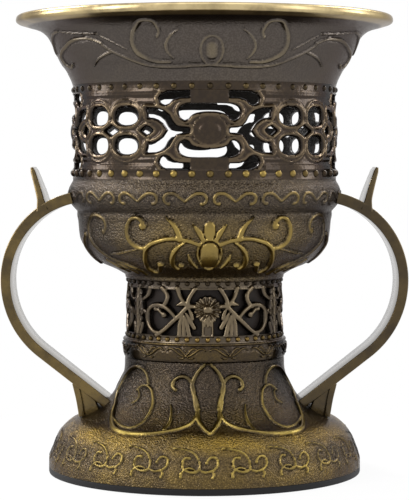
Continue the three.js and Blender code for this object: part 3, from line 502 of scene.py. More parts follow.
# Neck collar: openwork between two rails, cast in bronze-plated zinc and slipped over the sleeve. Three times
# round, a rosette stands between fans, volutes and straps, with an acanthus leaf between the groups.
# A grid point within this share of a cell from a window's edge moves onto the edge, slopes are taken as no
# flatter than the floor, and a cell goes when its middle is past the limit. Edges are rounded over the rim.
window_reach, slope_floor, window_limit, rim_width, pierced_full_relief = 0.55, 0.35, -0.05, 0.3, 0.4


def pierced_casting(relief, name, metal, bore, material, rub_and_sheen, rim_round=0.22, bright=None):
    """Only the metal of a worked ring: its field is millimetres into the metal, below nothing in a window."""
    rows, columns = metal.shape
    turn = np.tile(relief.turn, (rows, 1))
    way = np.tile(relief.along[:, None], (1, columns))
    radius = np.tile(relief.outline[:, :1], (1, columns))
    pitch_across = 2 * math.pi * radius / columns
    slope_across = (np.roll(metal, -1, 1) - np.roll(metal, 1, 1)) / (2 * pitch_across)
    slope_up = np.gradient(metal, relief.along, axis=0)
    steep = np.maximum(np.hypot(slope_across, slope_up), slope_floor)
    snap = np.abs(metal) / steep < window_reach * pitch_across.mean()
    snap[0], snap[-1] = False, False
    shift = np.where(snap, -metal / steep ** 2, 0)
    turn = turn + shift * slope_across / radius
    way = way + shift * slope_up
    field = np.where(snap, 0, metal)
    keep = field >= 0
    rim = np.clip(1 - field / rim_width, 0, 1)
    lift = relief.height - rim_round * rim ** 2
    outer_radius = np.interp(way, relief.along, relief.outline[:, 0]) + lift
    level = np.interp(way, relief.along, relief.outline[:, 1])
    outer, inner = spun(outer_radius, turn, level), spun(bore, turn, level)
    quads = ring_faces(rows, columns, close=False)
    held = keep.ravel()[quads]
    middle = metal.ravel()[quads].mean(axis=1)
    three = held.sum(axis=1) == 3
    faces = [tuple(quad) for quad in quads[held.all(axis=1) & (middle > window_limit)]]
    faces += [tuple(quad[corner]) for quad, corner in zip(quads[three], held[three])]
    edges = {(face[k - 1], face[k]): True for face in faces for k in range(len(face))}
    count = rows * columns
    walls = [(b, a, a + count, b + count) for a, b in edges if (b, a) not in edges]
    back = [tuple(v + count for v in reversed(face)) for face in faces]
    every = faces + back + walls
    used = np.unique(np.concatenate([np.array(face) for face in every]))
    place = np.full(2 * count, -1)
    place[used] = np.arange(len(used))
    bright = relief.height if bright is None else bright
    # The front mark, as on the solid castings, carries the painted side light.
    marks = {"relief": np.clip(bright / pierced_full_relief, 0, 1), "edge": rim, "rub_and_sheen": rub_and_sheen, "inside": 0,
             "front": relief.facing() ** 1.5}
    marks = {mark: np.concatenate([(value + np.zeros_like(metal)).ravel(),
                                   np.full(count, float(mark == "inside"))])[used]
             for mark, value in marks.items()}
    faces = [tuple(place[list(face)]) for face in every]
    return place_piece(name, np.vstack([outer, inner])[used], faces, material, sharp_degrees=50, marks=marks)


collar_outline = flow([(18.7, 32.3), (18.6, 34), (18.45, 36.5), (18.5, 39.5), (18.5, 42), (18.3, 44.2),
                       (18.4, 46.5)], 0.2)
collar_relief, collar_bore = Relief(collar_outline, columns=600), 17.5
rail_foot, rail_top, rosette_level = 34.0, 44.8, 40.2
collar_turns = [ornament_turn + math.radians(120 * k) for k in range(3)]
strands = [
    ([(9.1, 45), (12.3, 43.6), (14.2, 42.1), (14.4, 41.2)], [0.5, 0.5, 0.5], 0.5),
    ([(22.5, 45.1), (20.2, 43.2), (17.1, 41.8), (15.3, 41)], [0.55, 0.5, 0.45], 0.5),
    ([(15.3, 41.15), (17.6, 41.5), (20.2, 41.45), (23.2, 41.1)], [0.3, 0.6, 0.2], 0.55),
    ([(8.4, 40.9), (13.1, 41)], [0.55, 0.5], 0.4),
    ([(14.4, 40.9), (17.6, 39.9), (21.1, 38.7), (27.7, 36.8), (34.8, 34.9), (39.4, 34)], [0.5, 0.55, 0.55, 0.5],
     0.55),
    ([(24.3, 38.5), (28.7, 39.95), (33.2, 40.8), (38.1, 41.1), (43.2, 40.8), (47.4, 39.7), (48.7, 37.6),
      (46.2, 35.9), (41.8, 34.8), (37.6, 34.6)],
     [0.45, 0.55, 0.55, 0.55, 0.5, 0.5], 0.55),
    ([(33.2, 38.9), (35.2, 39.2), (37.6, 39.9), (40.9, 40)], [0.3, 0.45, 0.4], 0.45),
    ([(33.4, 38.8)], [0.7], 0.5),
    ([(34.8, 45), (31.1, 43.8), (30.4, 42.7), (32.2, 41.4), (34.6, 40.7)], [0.6, 0.55, 0.5, 0.5], 0.5),
    ([(13.6, 40.3), (12.2, 39.4), (10.8, 38)], [0.3, 0.5, 0.4], 0.45),
    ([(15.7, 39.3), (13.2, 37.8), (9.7, 35.9)], [0.3, 0.5, 0.5], 0.45),
    ([(17.1, 38.7), (15, 36.6), (13.4, 34.2)], [0.3, 0.5, 0.55], 0.45),
    ([(18.6, 38.8), (20.4, 36.9), (20.8, 34.2)], [0.3, 0.5, 0.55], 0.45),
    ([(17.6, 38.5), (17.6, 36.4), (17.2, 34.2)], [0.3, 0.45, 0.5], 0.4),
    ([(3.6, 34), (3.6, 37.6)], [0.28, 0.28], 0.5), ([(0, 34), (0, 37.4)], [1.1, 1.1], 0.08, False),
    ([(0, 38.1), (0, 36.3)], [0.3, 0.3], 0.45, False), ([(1.2, 38), (2.1, 36.4)], [0.25, 0.25], 0.4),
    ([(0, rosette_level)], [2.6], 0.28, False), ([(0, rosette_level)], [0.95], 0.95, False),
    ([(60, 34), (60, 45)], [0.7, 1.0, 1.5, 1.3, 0.7], 0.3), ([(60, 34.2), (60, 44.6)], [0.3, 0.3], 0.6),
    ([(60, 43.6), (57.4, 44.4)], [0.3, 0.25], 0.45), ([(60, 41.8), (56.4, 43)], [0.35, 0.25], 0.45),
    ([(60, 39.8), (55.8, 41.2)], [0.35, 0.25], 0.45), ([(60, 37.8), (56.2, 39.2)], [0.35, 0.25], 0.45),
    ([(60, 36), (56.8, 37.2)], [0.3, 0.25], 0.45), ([(54.5, 36.5), (57, 34.4)], [0.4, 0.5], 0.4),
    ([(48.7, 38.4), (52.4, 39.6), (55.4, 38.6)], [0.45, 0.5, 0.4], 0.45),
    ([(46.6, 45), (48.8, 43.2), (53.6, 42.2)], [0.55, 0.5, 0.4], 0.45)]
collar_relief.press_all(strands, collar_turns, slim=1.22)
petal_count, petal_ends, petal_radius = 16, (1.35, 3), 19
mm_per_degree = math.radians(1) * petal_radius
for k in range(petal_count):
    lean = 2 * math.pi * (k + 0.5) / petal_count
    petal = [(math.cos(lean) * r / mm_per_degree, rosette_level + math.sin(lean) * r) for r in petal_ends]
    collar_relief.press(petal, [0.16, 0.4], 0.62, collar_turns, mirrored=False)
collar_rows = collar_outline[:, 1][:, None]
rail = np.maximum(rail_foot - collar_rows, collar_rows - rail_top)
collar_metal = np.maximum(-collar_relief.near, rail)
ledge_line = sum(rise * np.exp(-((collar_rows - level) / width) ** 2)
                 for level, rise, width in [(34.0, 0.4, 0.22), (44.9, 0.4, 0.22), (32.4, 0.3, 0.2)])
collar_relief.height = np.maximum(collar_relief.height, ledge_line)
collar_bronze = antique_bronze("cast_bronze_collar", "#423932", "#403a36", "#463d34", "#524736", "#6f614a",
                               ground_rough=0.28, stipple=0.2)
# A quarter share of brass everywhere and up to full on the side facing the front: rubbed wear, with painted
# sheen on that side.
collar_rub_and_sheen = 0.25 + 0.75 * np.cos(collar_relief.turn - ornament_turn).clip(0) ** 3
collar = pierced_casting(collar_relief, "neck_openwork_collar", collar_metal, collar_bore, collar_bronze,
                         collar_rub_and_sheen)
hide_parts("neck_collar")


# Beads: rows of small round beads cast in one with the collar's rails and, farther up, with the gallery's
# bands. They are the same bronze-plated zinc, dark in between and rubbed bright on top, the brass towards the
# front partly painted sheen. The rows under the bowl and under the bell take a darker copy, painted shade.
bead_maker = bpy.data.node_groups.new("bead_row", "GeometryNodeTree")
bead_maker.interface.new_socket("Geometry", in_out="OUTPUT", socket_type="NodeSocketGeometry")
for label, kind in [("Row Radius", "Float"), ("Row Level", "Float"), ("Bead Radius", "Float"),
                    ("Bead Count", "Int"), ("First Turn", "Float"), ("Finish", "Material")]:
    bead_maker.interface.new_socket(label, in_out="INPUT", socket_type="NodeSocket" + kind)
given = add_node(bead_maker, "NodeGroupInput").outputs
circle = {"Vertices": given["Bead Count"], "Radius": given["Row Radius"]}
circle = add_node(bead_maker, "GeometryNodeMeshCircle", circle)
bead = {"Segments": 16, "Rings": 10, "Radius": given["Bead Radius"]}
bead = add_node(bead_maker, "GeometryNodeMeshUVSphere", bead)
bead = add_node(bead_maker, "GeometryNodeSetShadeSmooth", {"Geometry": bead})
row = add_node(bead_maker, "GeometryNodeInstanceOnPoints", {"Points": circle, "Instance": bead})
row = add_node(bead_maker, "GeometryNodeRealizeInstances", {"Geometry": row})
lift = add_node(bead_maker, "ShaderNodeCombineXYZ", {"Z": given["Row Level"]})
turn = add_node(bead_maker, "ShaderNodeCombineXYZ", {"Z": given["First Turn"]})
row = add_node(bead_maker, "GeometryNodeTransform", {"Geometry": row, "Translation": lift, "Rotation": turn})
row = add_node(bead_maker, "GeometryNodeSetMaterial", {"Geometry": row, "Material": given["Finish"]})
add_node(bead_maker, "NodeGroupOutput", {"Geometry": row})
bead_count = 48


def bead_row(name, row_radius, row_level, bead_radius, finish):
    maker = bpy.data.objects.new(name + "_maker", bpy.data.meshes.new(name + "_maker"))
    bpy.context.scene.collection.objects.link(maker)
    nodes = maker.modifiers.new("beads", "NODES")
    nodes.node_group = bead_maker
    sizes = {"Row Radius": row_radius * millimetre, "Row Level": row_level * millimetre,
             "Bead Radius": bead_radius * millimetre, "Bead Count": bead_count, "First Turn": ornament_turn,
             "Finish": finish}
    for item in bead_maker.interface.items_tree:
        if item.in_out == "INPUT":
            nodes[item.identifier] = sizes[item.name]
    bpy.context.view_layer.update()
    mesh = bpy.data.meshes.new_from_object(maker.evaluated_get(bpy.context.evaluated_depsgraph_get()))
    mesh.name = name
    bpy.data.objects.remove(maker)
    row = bpy.data.objects.new(name, mesh)
    bpy.context.scene.collection.objects.link(row)
    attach(row, "body")


# Bronze plate on the beads: brown-black, brass in worn clouds of about 8 mm only towards the two faces, partly
# painted sheen.
def bead_bronze(name, low, high, dull_depth, bright_depth):
    material, tree, shader, place = principled(name)
    patch = add_node(tree, "ShaderNodeTexNoise", {"Vector": place, "Scale": per_metre(100 / 13), "Detail": 3.0})
    wear_and_sheen = add_node(tree, "ShaderNodeMapRange", {"Value": patch, "From Min": 0.35, "From Max": 0.6,
                                                 "To Min": 0.3})
    depth = add_node(tree, "ShaderNodeSeparateXYZ", {0: place}).outputs[1]
    depth = add_node(tree, "ShaderNodeMath", {0: depth}, operation="ABSOLUTE")
    faced = add_node(tree, "ShaderNodeMapRange", {"Value": depth, "From Min": dull_depth * millimetre,
                                                  "From Max": bright_depth * millimetre})
    wear_and_sheen = add_node(tree, "ShaderNodeMath", {0: wear_and_sheen, 1: faced}, operation="MULTIPLY")
    colour = add_node(tree, "ShaderNodeMix", {0: wear_and_sheen, 6: linear(low), 7: linear(high)}, data_type="RGBA")
    rough = add_node(tree, "ShaderNodeMapRange", {"Value": patch, "To Min": 0.4, "To Max": 0.25})
    set_inputs(tree, shader, {"Base Color": colour, "Roughness": rough, "Metallic": 0.9})
    return material


# Lit and shaded copies: the dark one is painted shade for the rows under the bowl and under the bell.
shaded_beads = bead_bronze("bronze_beads_dark", "#2b241d", "#584a2f", 14, 32)
bright_beads = bead_bronze("bronze_beads_rubbed_and_lit", "#33291f", "#9a8346", 17, 30)
neck_beads = bead_bronze("bronze_beads_neck", "#2e2619", "#80693a", 6, 19)
bead_row("neck_lower_beads", 18.65, 33.15, 0.62, neck_beads)
bead_row("neck_upper_beads", 18.45, 46.25, 0.62, shaded_beads)


# Bowl: die cast in one in bronze-plated zinc, round-bottomed, with vine scrolls about an oval fruit on two
# faces and a rolled shoulder of bracket scrolls. It is bolted down through its floor, and its ledge carries
# the dish.
bowl_outline = np.vstack([
    flow([(18.7, 46.5), (19.1, 46.9), (19.2, 47.4)], 0.2),
    flow([(19.4, 47.7), (20.9, 48.6), (22.6, 49.4), (24.5, 50.2), (25.6, 50.95), (26.5, 51.6), (27.4, 52.4),
          (28.15, 53.2), (28.8, 54), (29.6, 55.2), (30.1, 56.4), (30.3, 57.6), (30.45, 59), (30.6, 60.6),
          (30.85, 62), (30.8, 62.7)], 0.26),
    flow([(30.9, 62.95), (31.5, 63.6), (32.3, 64.6), (32.85, 66), (33, 67.4), (32.7, 68.6), (32.3, 69.4),
          (31.9, 70.1), (31.8, 70.7)], 0.26)])
bowl_relief = Relief(bowl_outline, columns=800)
fruit_ring = [(5.5 * math.cos(a), 53.7 + 3.35 * math.sin(a)) for a in np.linspace(0, 2 * math.pi, 29)]
bowl_vines = [
    (fruit_ring, [0.32, 0.32], 0.6, False), ([(0, 51.7), (0, 53), (0, 54.5)], [1.75, 2.3, 2.2], 0.85, False),
    ([(0, 57.5), (0, 59), (0, 59.9)], [0.95, 1.4, 1.35], 0.6, False),
    ([(3.2, 57.2), (4, 58.2), (5.4, 59.3), (7.4, 60.6)], [0.6, 0.75, 0.5, 0.1], 0.5),
    ([(4.6, 55.9), (8.4, 56.6), (12, 57.05), (17.9, 57.2), (22.4, 56.7), (26.2, 56), (29.4, 54.8), (31.4, 53.2),
      (33, 51.6), (34, 50.3), (32.6, 49.5), (29.8, 49.5), (26.8, 50.4), (25.6, 51.3)],
     [0.5, 0.55, 0.6, 0.62, 0.6, 0.62, 0.5], 0.8), ([(25.2, 51.2)], [0.85], 0.8),
    ([(27.4, 55.6), (30.6, 55), (33.8, 55.3), (36.8, 56.4), (38.1, 58.4), (37.3, 60.4), (34.6, 61.8),
      (31.4, 61.8), (29.5, 60.8)],
     [0.4, 0.5, 0.55, 0.5, 0.5, 0.55], 0.75), ([(30, 60)], [0.95], 0.8),
    ([(13, 57), (13.6, 58.4), (15.3, 60.1), (18.9, 62.1)], [0.75, 0.7, 0.5, 0.12], 0.65),
    ([(10.8, 56.4), (13.8, 55.4), (16.6, 53.9), (18.2, 52.3), (18.2, 50.9), (16.6, 50.3), (14.8, 50.6)],
     [0.3, 0.6, 0.75, 0.75, 0.55], 0.7),
    ([(14.3, 51)], [0.8], 0.75),
    ([(9.6, 53.6), (9.2, 52.3), (7.9, 51.2), (5.9, 50.6)], [0.25, 0.6, 0.6, 0.2], 0.6),
    ([(34.4, 54.6), (40, 54), (46.5, 53.4), (53, 53.2)], [0.2, 0.3, 0.2], 0.25),
    ([(53, 58.2), (51, 59.6), (51.9, 61.2), (56, 62.2), (61.6, 61.8), (65.4, 60), (66, 57.4), (63.4, 54.8),
      (58.6, 52.8), (53, 51.6), (48, 51)], [0.45, 0.6, 0.6, 0.65, 0.75, 0.75, 0.6, 0.4], 0.32),
    ([(53.2, 58.6)], [0.6], 0.3), ([(70, 57.6), (75, 55.6), (80, 52.4), (84, 50.6)], [0.7, 0.9, 0.9, 0.5], 0.5),
    ([(43.5, 48.4), (44.6, 50.2), (47.8, 51)], [0.45, 0.5, 0.4], 0.45),
    ([(50.5, 48.6), (51.4, 50.4), (54.4, 51.3)], [0.45, 0.5, 0.4], 0.45),
    ([(57.5, 49), (58.4, 50.8), (61.4, 51.8)], [0.45, 0.5, 0.4], 0.45)]
bowl_relief.press_all(bowl_vines, two_faces)
bracket_turns = [ornament_turn + math.radians(10 + 20 * k) for k in range(18)]
brackets = [
    ([(0, 65.75), (1.3, 66.3), (2.7, 66.95), (4.4, 67.5), (6.2, 67.6), (7.7, 67.25), (8.5, 66.5), (8.3, 65.75),
      (7.4, 65.25)], [0.3, 0.4, 0.42, 0.42, 0.38]),
    ([(7.4, 65.3), (6.6, 65.2)], [0.4, 0.5])]
bowl_relief.press_fading(brackets, bracket_turns, side_rise=0.12, gain=0.33, power=1.5)
# Brass by level, nearly all of it on the two faces: rubbed wear, with painted sheen towards the faces.
bowl_rub_and_sheen = bowl_relief.wear_and_sheen([46.5, 47.5, 49, 52, 56, 60, 62.8, 64, 66, 68, 69.5, 70.7],
                            [0.2, 0.4, 0.55, 0.55, 0.5, 0.45, 0.15, 0.12, 0.1, 0.12, 0.12, 0.1], side=0.1,
                            power=2)
bowl_gilt = bowl_relief.wear_and_sheen([46.5, 62, 63.5, 71], [0.6, 0.6, 0.35, 0.35])
bowl_inner = [(31.2, 70.7), (31.2, 68.4), (30, 68.4), (30, 65.3), (27.4, 65.3), (27.35, 58), (24.7, 52.9),
              (19.7, 50.5), (2.8, 50.5), (2.8, 46.5)]
bowl_bronze = antique_bronze("stippled_bronze_bowl", "#2e2620", "#3d3835", "#4f453a", "#7d672f", "#8b763c",
                             ground_rough=0.36, etch=0.3)
bowl = bowl_relief.casting("bowl_casting", bowl_inner, bowl_bronze, bowl_rub_and_sheen, gilt=bowl_gilt)
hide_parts("bowl")


# Gallery ring: the pierced ring on the bowl, cast thick in bronze-plated zinc, its windows filed clean, each
# with a raised line along it. Four times round: an oval boss between long windows, forked windows at a leaf's
# tip, and pairs of loops.
def window_gap(across, up, outline):
    """Millimetres from each point to a window's edge, less than nothing inside the window."""
    corners = np.asarray(outline, float)
    after = np.roll(corners, -1, axis=0)
    px, py = across[..., None], up[..., None]
    (ax, ay), (dx, dy) = corners.T, (after - corners).T
    far = off_line(px, py, ax, ay, dx, dy)[1].min(axis=-1)
    rises = (ay > py) != (after[:, 1] > py)
    cross = dx * (py - ay) / np.where(dy == 0, 1e-9, dy) + ax
    within = ((rises & (px < cross)).sum(axis=-1) % 2) == 1
    return np.where(within, -far, far)


def closed_flow(points, step):
    """A smooth closed outline through the given points."""
    ring = points[-3:] + points + points[:3]
    drawn = flow(ring, step)
    gaps = np.hypot(*np.diff(np.asarray(ring, float), axis=0).T)
    along = np.concatenate([[0], gaps.cumsum()])
    at = np.linspace(0, along[-1], len(drawn))
    return drawn[(at >= along[3]) & (at < along[-3])]


gallery_radius, gallery_bore, gallery_foot, gallery_top = 31.65, 30.7, 70.7, 93.1
band_height, band_proud = 2.3, 0.15
eighth_columns, half_rows = 84, 38
eighth = math.pi * gallery_radius / 4
half_height = (gallery_top - gallery_foot) / 2
across, up = np.meshgrid(np.linspace(0, eighth, eighth_columns + 1), np.linspace(0, half_height, half_rows + 1))

oblong = [(0, 6.1), (3.2, 6.1), (5.4, 5.9), (6.8, 5.2), (7.2, 4.2), (6.9, 3.1), (5.9, 2.35), (4.9, 2.5),
          (4.35, 3.2), (3.6, 3.75), (2.4, 4.1), (0, 4.3)]
oblong = oblong + [(-x, v) for x, v in oblong[-2:0:-1]]
comma = [(4.45, 8.9), (7, 8.9), (9.6, 8.85), (11.2, 8.3), (11.9, 7.3), (11.5, 6.2), (10.4, 5.75), (9.3, 6.1),
         (8.5, 7), (7, 7.5), (4.45, 7.55)]
fork = [(4.6, 0.5), (6.4, 0.6), (7.6, 0.9), (8.5, 1.9), (9.3, 3.4), (10.6, 4.4), (12.4, 4.95), (15.1, 5.05),
        (14.7, 4), (14.6, 2.9), (13.4, 2.9), (12.2, 2.5), (10.9, 1.6), (9.75, 0)]
fork = fork + [(x, -v) for x, v in fork[-2::-1]]
loop = [(20.4 + 3.35 * np.sign(c) * abs(c) ** 0.8, 3.35 + 2.1 * np.sign(v) * abs(v) ** 0.8)
        for c, v in [(math.cos(a), math.sin(a)) for a in np.linspace(0, 2 * math.pi, 33)[:-1]]]
leaf_eye = [(13.2, 0), (14, 0.65), (15, 1), (16.4, 0), (15, -1), (14, -0.65)]
diamond = [(eighth - 2.4, 0), (eighth - 0.9, 0.75), (eighth, 1.25), (eighth + 0.9, 0.75), (eighth + 2.4, 0),
           (eighth + 0.9, -0.75), (eighth, -1.25), (eighth - 0.9, -0.75)]
windows = [closed_flow(oblong, 0.5), comma, fork, loop, leaf_eye, diamond]
gallery_gap = np.min([window_gap(across, up, window) for window in windows], axis=0)


def ridge(rise, gap, width):
    """A raised line of that height and half width where the gap from its middle is nothing."""
    return rise * np.exp(-(gap / width) ** 2)


def dome(rise, gap):
    """A rounded boss of that height, the gap from its middle counted in its own half widths."""
    return rise * np.sqrt(np.clip(1 - gap ** 2, 0, 1))


band_foot = half_height - band_height
below_band = up < band_foot
boss = dome(0.8, np.hypot(across / 2.75, up / 2.15))
ears = dome(0.45, np.hypot(across - 3.7, up - 2.9) / math.sqrt(0.8))
plate_gap = np.hypot(across / 4.35, up / 3.75)
medallion = 0.25 * (plate_gap < 0.93) + ridge(0.25, plate_gap - 0.90, 0.05) * (plate_gap < 1.0)
tab = (across < 4.4) & (up > 6.3)
window_line = ridge(0.42, gallery_gap - 0.6, 0.36) * ~tab * below_band
loop_edge = np.hypot((across - 20.4) / 4.6, (up - 3.5) / 3.6)
loop_line = ridge(0.3, loop_edge - 1.0, 0.06) * (up > 3.0)
panel_step = 0.28 * ((across > 12.8) & (up > 7.9) & below_band)
panel_line = ridge(0.25, up - 6.6 - 0.02 * (across - 13), 0.22) * (across > 12.6) * (across < 17.5)
band = band_proud * np.clip((up - band_foot) / 0.3 + 1, 0, 1)
band_line = ridge(0.22, up - band_foot - 0.15, 0.16) + ridge(0.22, up - half_height + 0.1, 0.16)
gallery_work = np.maximum.reduce([boss, ears, medallion, window_line, loop_line, panel_step, panel_line])
gallery_lift = np.maximum(gallery_work, band) + band_line
gallery_bright = np.maximum.reduce([window_line, loop_line, 0.9 * band_line,
                                    0.5 * medallion * (plate_gap > 0.8), 0.6 * panel_line])


def whole_ring(part):
    """An eighth of the pattern's upper half, mirrored down, along and round to the whole ring."""
    tall = np.vstack([part[:0:-1], part])
    wide = np.hstack([tall, tall[:, -2:0:-1]])
    whole = np.tile(wide, (1, 4))
    return np.roll(whole, round(ornament_turn / (2 * math.pi) % 1 * whole.shape[1]), axis=1)


gallery_levels = np.linspace(gallery_foot, gallery_top, 2 * half_rows + 1)
gallery_outline = np.stack([np.full_like(gallery_levels, gallery_radius), gallery_levels], axis=1)
gallery_relief = Relief(gallery_outline, columns=8 * eighth_columns)
gallery_relief.height = whole_ring(gallery_lift)
gallery_metal = whole_ring(gallery_gap)
# More brass on the side facing the front than at the back: painted sheen over the rubbed lines.
gallery_rub_and_sheen = 0.35 + 0.2 * np.cos(gallery_relief.turn - ornament_turn)
gallery_bronze = antique_bronze("satin_bronze_gallery", "#2c231c", "#2d2622", "#352b21", "#3c3022", "#75644a",
                                grain=0.8, ground_rough=0.26, crest_rough=0.22, stipple=0.12)
gallery = pierced_casting(gallery_relief, "gallery_openwork_ring", gallery_metal, gallery_bore, gallery_bronze,
                          gallery_rub_and_sheen, rim_round=0.2, bright=whole_ring(gallery_bright))
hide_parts("gallery_ring")
bead_row("gallery_lower_beads", 31.5, 72.0, 0.95, bright_beads)
bead_row("gallery_upper_beads", 31.5, 92.0, 0.8, shaded_beads)


# Rim bell: the flared mouth that sheds the smoke, cast thin in the same bronze-plated zinc and pressed on
# the gallery. Its lip is rolled thick and rubbed to gold, and faint scrolls run round below it.
bell_outline = np.vstack([
    flow([(31.9, 93.1), (32.2, 94), (32.75, 95.2), (33.6, 96.8), (34.6, 98.1), (35.5, 99.8), (36.3, 101.5),
          (37.1, 103.3), (38, 104.8), (39.3, 106), (41.2, 106.9), (43.4, 107.5), (44.6, 107.85)], 0.26),
    flow([(45.1, 108), (45.5, 108.35), (45.55, 109), (45.35, 109.55), (44.9, 109.85), (44.2, 109.85)], 0.14)])
bell_relief = Relief(bell_outline, columns=800)
bell_oval = [(0.4 + 4.1 * math.cos(a), 99.8 + 3.2 * math.sin(a)) for a in np.linspace(0, 2 * math.pi, 25)]
bell_scrolls = [
    (bell_oval, [0.42, 0.42], 0.35, False), ([(0.4, 99.1), (0.4, 100.5)], [1.75, 1.75], 0.4, False),
    ([(-0.9, 103), (1.7, 103)], [0.35, 0.35], 0.25, False),
    ([(11.1, 104.4), (13.4, 103.5), (15.4, 102.2), (16.4, 100.6), (15.6, 99.2), (13.8, 98)],
     [0.15, 0.4, 0.5, 0.5, 0.2], 0.4),
    ([(15.4, 97.3), (20.6, 97.4), (24.9, 98.3), (27.9, 99.6), (28.9, 101.2), (28.4, 103.2), (26, 105.2),
      (22.6, 106.4), (20, 106.3), (18.7, 105.2), (18.3, 103.9), (19.1, 102.8)],
     [0.4, 0.7, 0.8, 0.7, 0.6, 0.5, 0.4], 0.5),
    ([(-1, 96.6), (6.4, 96.4), (17.2, 96.2), (26.1, 96.8), (33.2, 98.4), (38.6, 99.9), (42.6, 101.4)],
     [0.45, 0.5, 0.45, 0.45, 0.4], 0.35),
    ([(31.8, 100.2), (42.1, 103.5)], [0.22, 0.22], 0.3),
    ([(42.9, 103.9), (55, 104.4), (67.1, 105.2)], [0.25, 0.3, 0.25], 0.3),
    ([(42.3, 101.8), (46.7, 102.8), (54.1, 103.1), (60.5, 102.6), (66.1, 101.6), (72.5, 100.6), (76.2, 99.4),
      (74.8, 97.8), (70.5, 97), (67.2, 97.6)],
     [0.3, 0.5, 0.55, 0.6, 0.55, 0.4], 0.55),
    ([(38.6, 99.9), (45.8, 98.6), (51.6, 96.9)], [0.45, 0.4, 0.15], 0.35),
    ([(66, 105.2), (74, 104.6), (80, 103), (84, 100.6)], [0.35, 0.5, 0.5, 0.3], 0.45)]
bell_relief.press_all(bell_scrolls, two_faces, slim=0.85, rise_share=0.75)
lip_way = bell_relief.along[-1] - bell_relief.along[:, None]
lip_rub = np.interp(lip_way, [5.2, 6.2], [1, 0])
# Brass by level, mostly on the two faces, and the lip's gold stronger on the faces: rubbed wear, with painted
# sheen towards the faces.
bell_rub_and_sheen = bell_relief.wear_and_sheen([93.1, 95, 98, 104, 106], [0.06, 0.06, 0.04, 0.02, 0.02], side=0.3)
bell_rub_and_sheen = bell_rub_and_sheen + lip_rub * (0.55 + 0.45 * bell_relief.facing())
bell_bronze = antique_bronze("satin_bronze_bell", "#453e39", "#45403d", "#524b46", "#8a7138", "#c6b386",
                             ground_rough=0.32, stipple=0.3, etch=0.25)
bell_inner = [(43.2, 109.3), (41.4, 108.5), (39, 107.5), (37, 106), (35.6, 103.8), (34.4, 101.6), (32.9, 99),
              (31.7, 96.9), (31.2, 95.4), (31.2, 93.1)]
bell = bell_relief.casting("rim_bell_casting", bell_inner, bell_bronze, bell_rub_and_sheen, inside=0.35, gilt=0.02,
                           bright=lip_rub)
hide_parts("rim_bell")


# Ember dish: the loose dish that holds the charcoal, spun from sheet steel and hung by its rim on the bowl's
# ledge. It lifts straight out.
# Spun steel: grey, clouded by heat over about 14 mm, its spinning lines drawn 0.4 mm apart so that they show.
dish_steel, tree, shader, place = principled("spun_steel_heat_darkened")
split = add_node(tree, "ShaderNodeSeparateXYZ", {0: place}).outputs
flat = add_node(tree, "ShaderNodeCombineXYZ", {"X": split[0], "Y": split[1]})
reach = add_node(tree, "ShaderNodeVectorMath", {0: flat}, operation="LENGTH")
stretched = add_node(tree, "ShaderNodeCombineXYZ", {"X": reach, "Z": split[2]})
spinning = add_node(tree, "ShaderNodeTexNoise", {"Vector": stretched, "Scale": per_metre(0.4), "Detail": 2.0})
heat = add_node(tree, "ShaderNodeTexNoise", {"Vector": place, "Scale": per_metre(100 / 7), "Detail": 4.0})
colour = add_node(tree, "ShaderNodeMix", {0: heat, 6: linear("#5d5955"), 7: linear("#8b8781")},
                  data_type="RGBA")
rough = add_node(tree, "ShaderNodeMapRange", {"Value": heat, "To Min": 0.3, "To Max": 0.5})
bump = add_node(tree, "ShaderNodeBump", {"Height": spinning, "Strength": 0.35, "Distance": 0.05 * millimetre})
set_inputs(tree, shader, {"Base Color": colour, "Roughness": rough, "Metallic": 1.0, "Normal": bump})


def closed_turning(name, outline, columns, material, body="body"):
    """A turned piece whose outline starts and ends on the axis, each end closed on one point."""
    middle = turned_points(outline[1:-1], columns)
    faces = list(ring_faces(len(outline) - 2, columns, close=False))
    first, last = len(middle), len(middle) + 1
    top = (len(outline) - 3) * columns
    for j in range(columns):
        after = (j + 1) % columns
        faces.append((first, after, j))
        faces.append((last, top + j, top + after))
    points = np.vstack([middle, [(0, 0, outline[0][1])], [(0, 0, outline[-1][1])]])
    return place_piece(name, points, faces, material, body=body)


dish_wall = flow([(19.6, 54.1), (22.9, 54.35), (25, 55.6), (26.2, 57.6), (26.75, 60.2), (26.8, 62.6)], 1.0)
dish_hollow = flow([(25.6, 62), (25.5, 60.4), (24.9, 58.4), (23.6, 56.5), (21.6, 55.45), (18.6, 55.3)], 1.0)
dish_outline = [(0, 54.1), *dish_wall.tolist(), (26.8, 65.2), (27.1, 65.6), (29.1, 65.6), (29.35, 65.75),
                (29.4, 66.2), (29.35, 66.65), (29.1, 66.8), (26, 66.8), (25.65, 66.4), (25.6, 62.6),
                *dish_hollow.tolist(), (0, 55.3)]
dish = closed_turning("ember_dish_spun", dish_outline, 128, dish_steel, body="dish")
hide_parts("ember_dish")


# Tie bolt, washer and nut: the bolt goes down through the bowl's floor and clamps bowl, neck, band and foot
# together, with its washer and nut under the stem's web. All three are zinc-plated steel.
# Zinc plate: pale and a little blue, its bloom in clouds of about 2.5 mm.
zinc_plate, tree, shader, place = principled("zinc_plated_steel")
bloom = add_node(tree, "ShaderNodeTexNoise", {"Vector": place, "Scale": per_metre(2.5), "Detail": 4.0})
colour = add_node(tree, "ShaderNodeMix", {0: bloom, 6: linear("#8c8f92"), 7: linear("#b9bcbe")},
                  data_type="RGBA")
rough = add_node(tree, "ShaderNodeMapRange", {"Value": bloom, "To Min": 0.25, "To Max": 0.42})
bump = add_node(tree, "ShaderNodeBump", {"Height": bloom, "Strength": 0.15, "Distance": 0.05 * millimetre})
set_inputs(tree, shader, {"Base Color": colour, "Roughness": rough, "Metallic": 1.0, "Normal": bump})

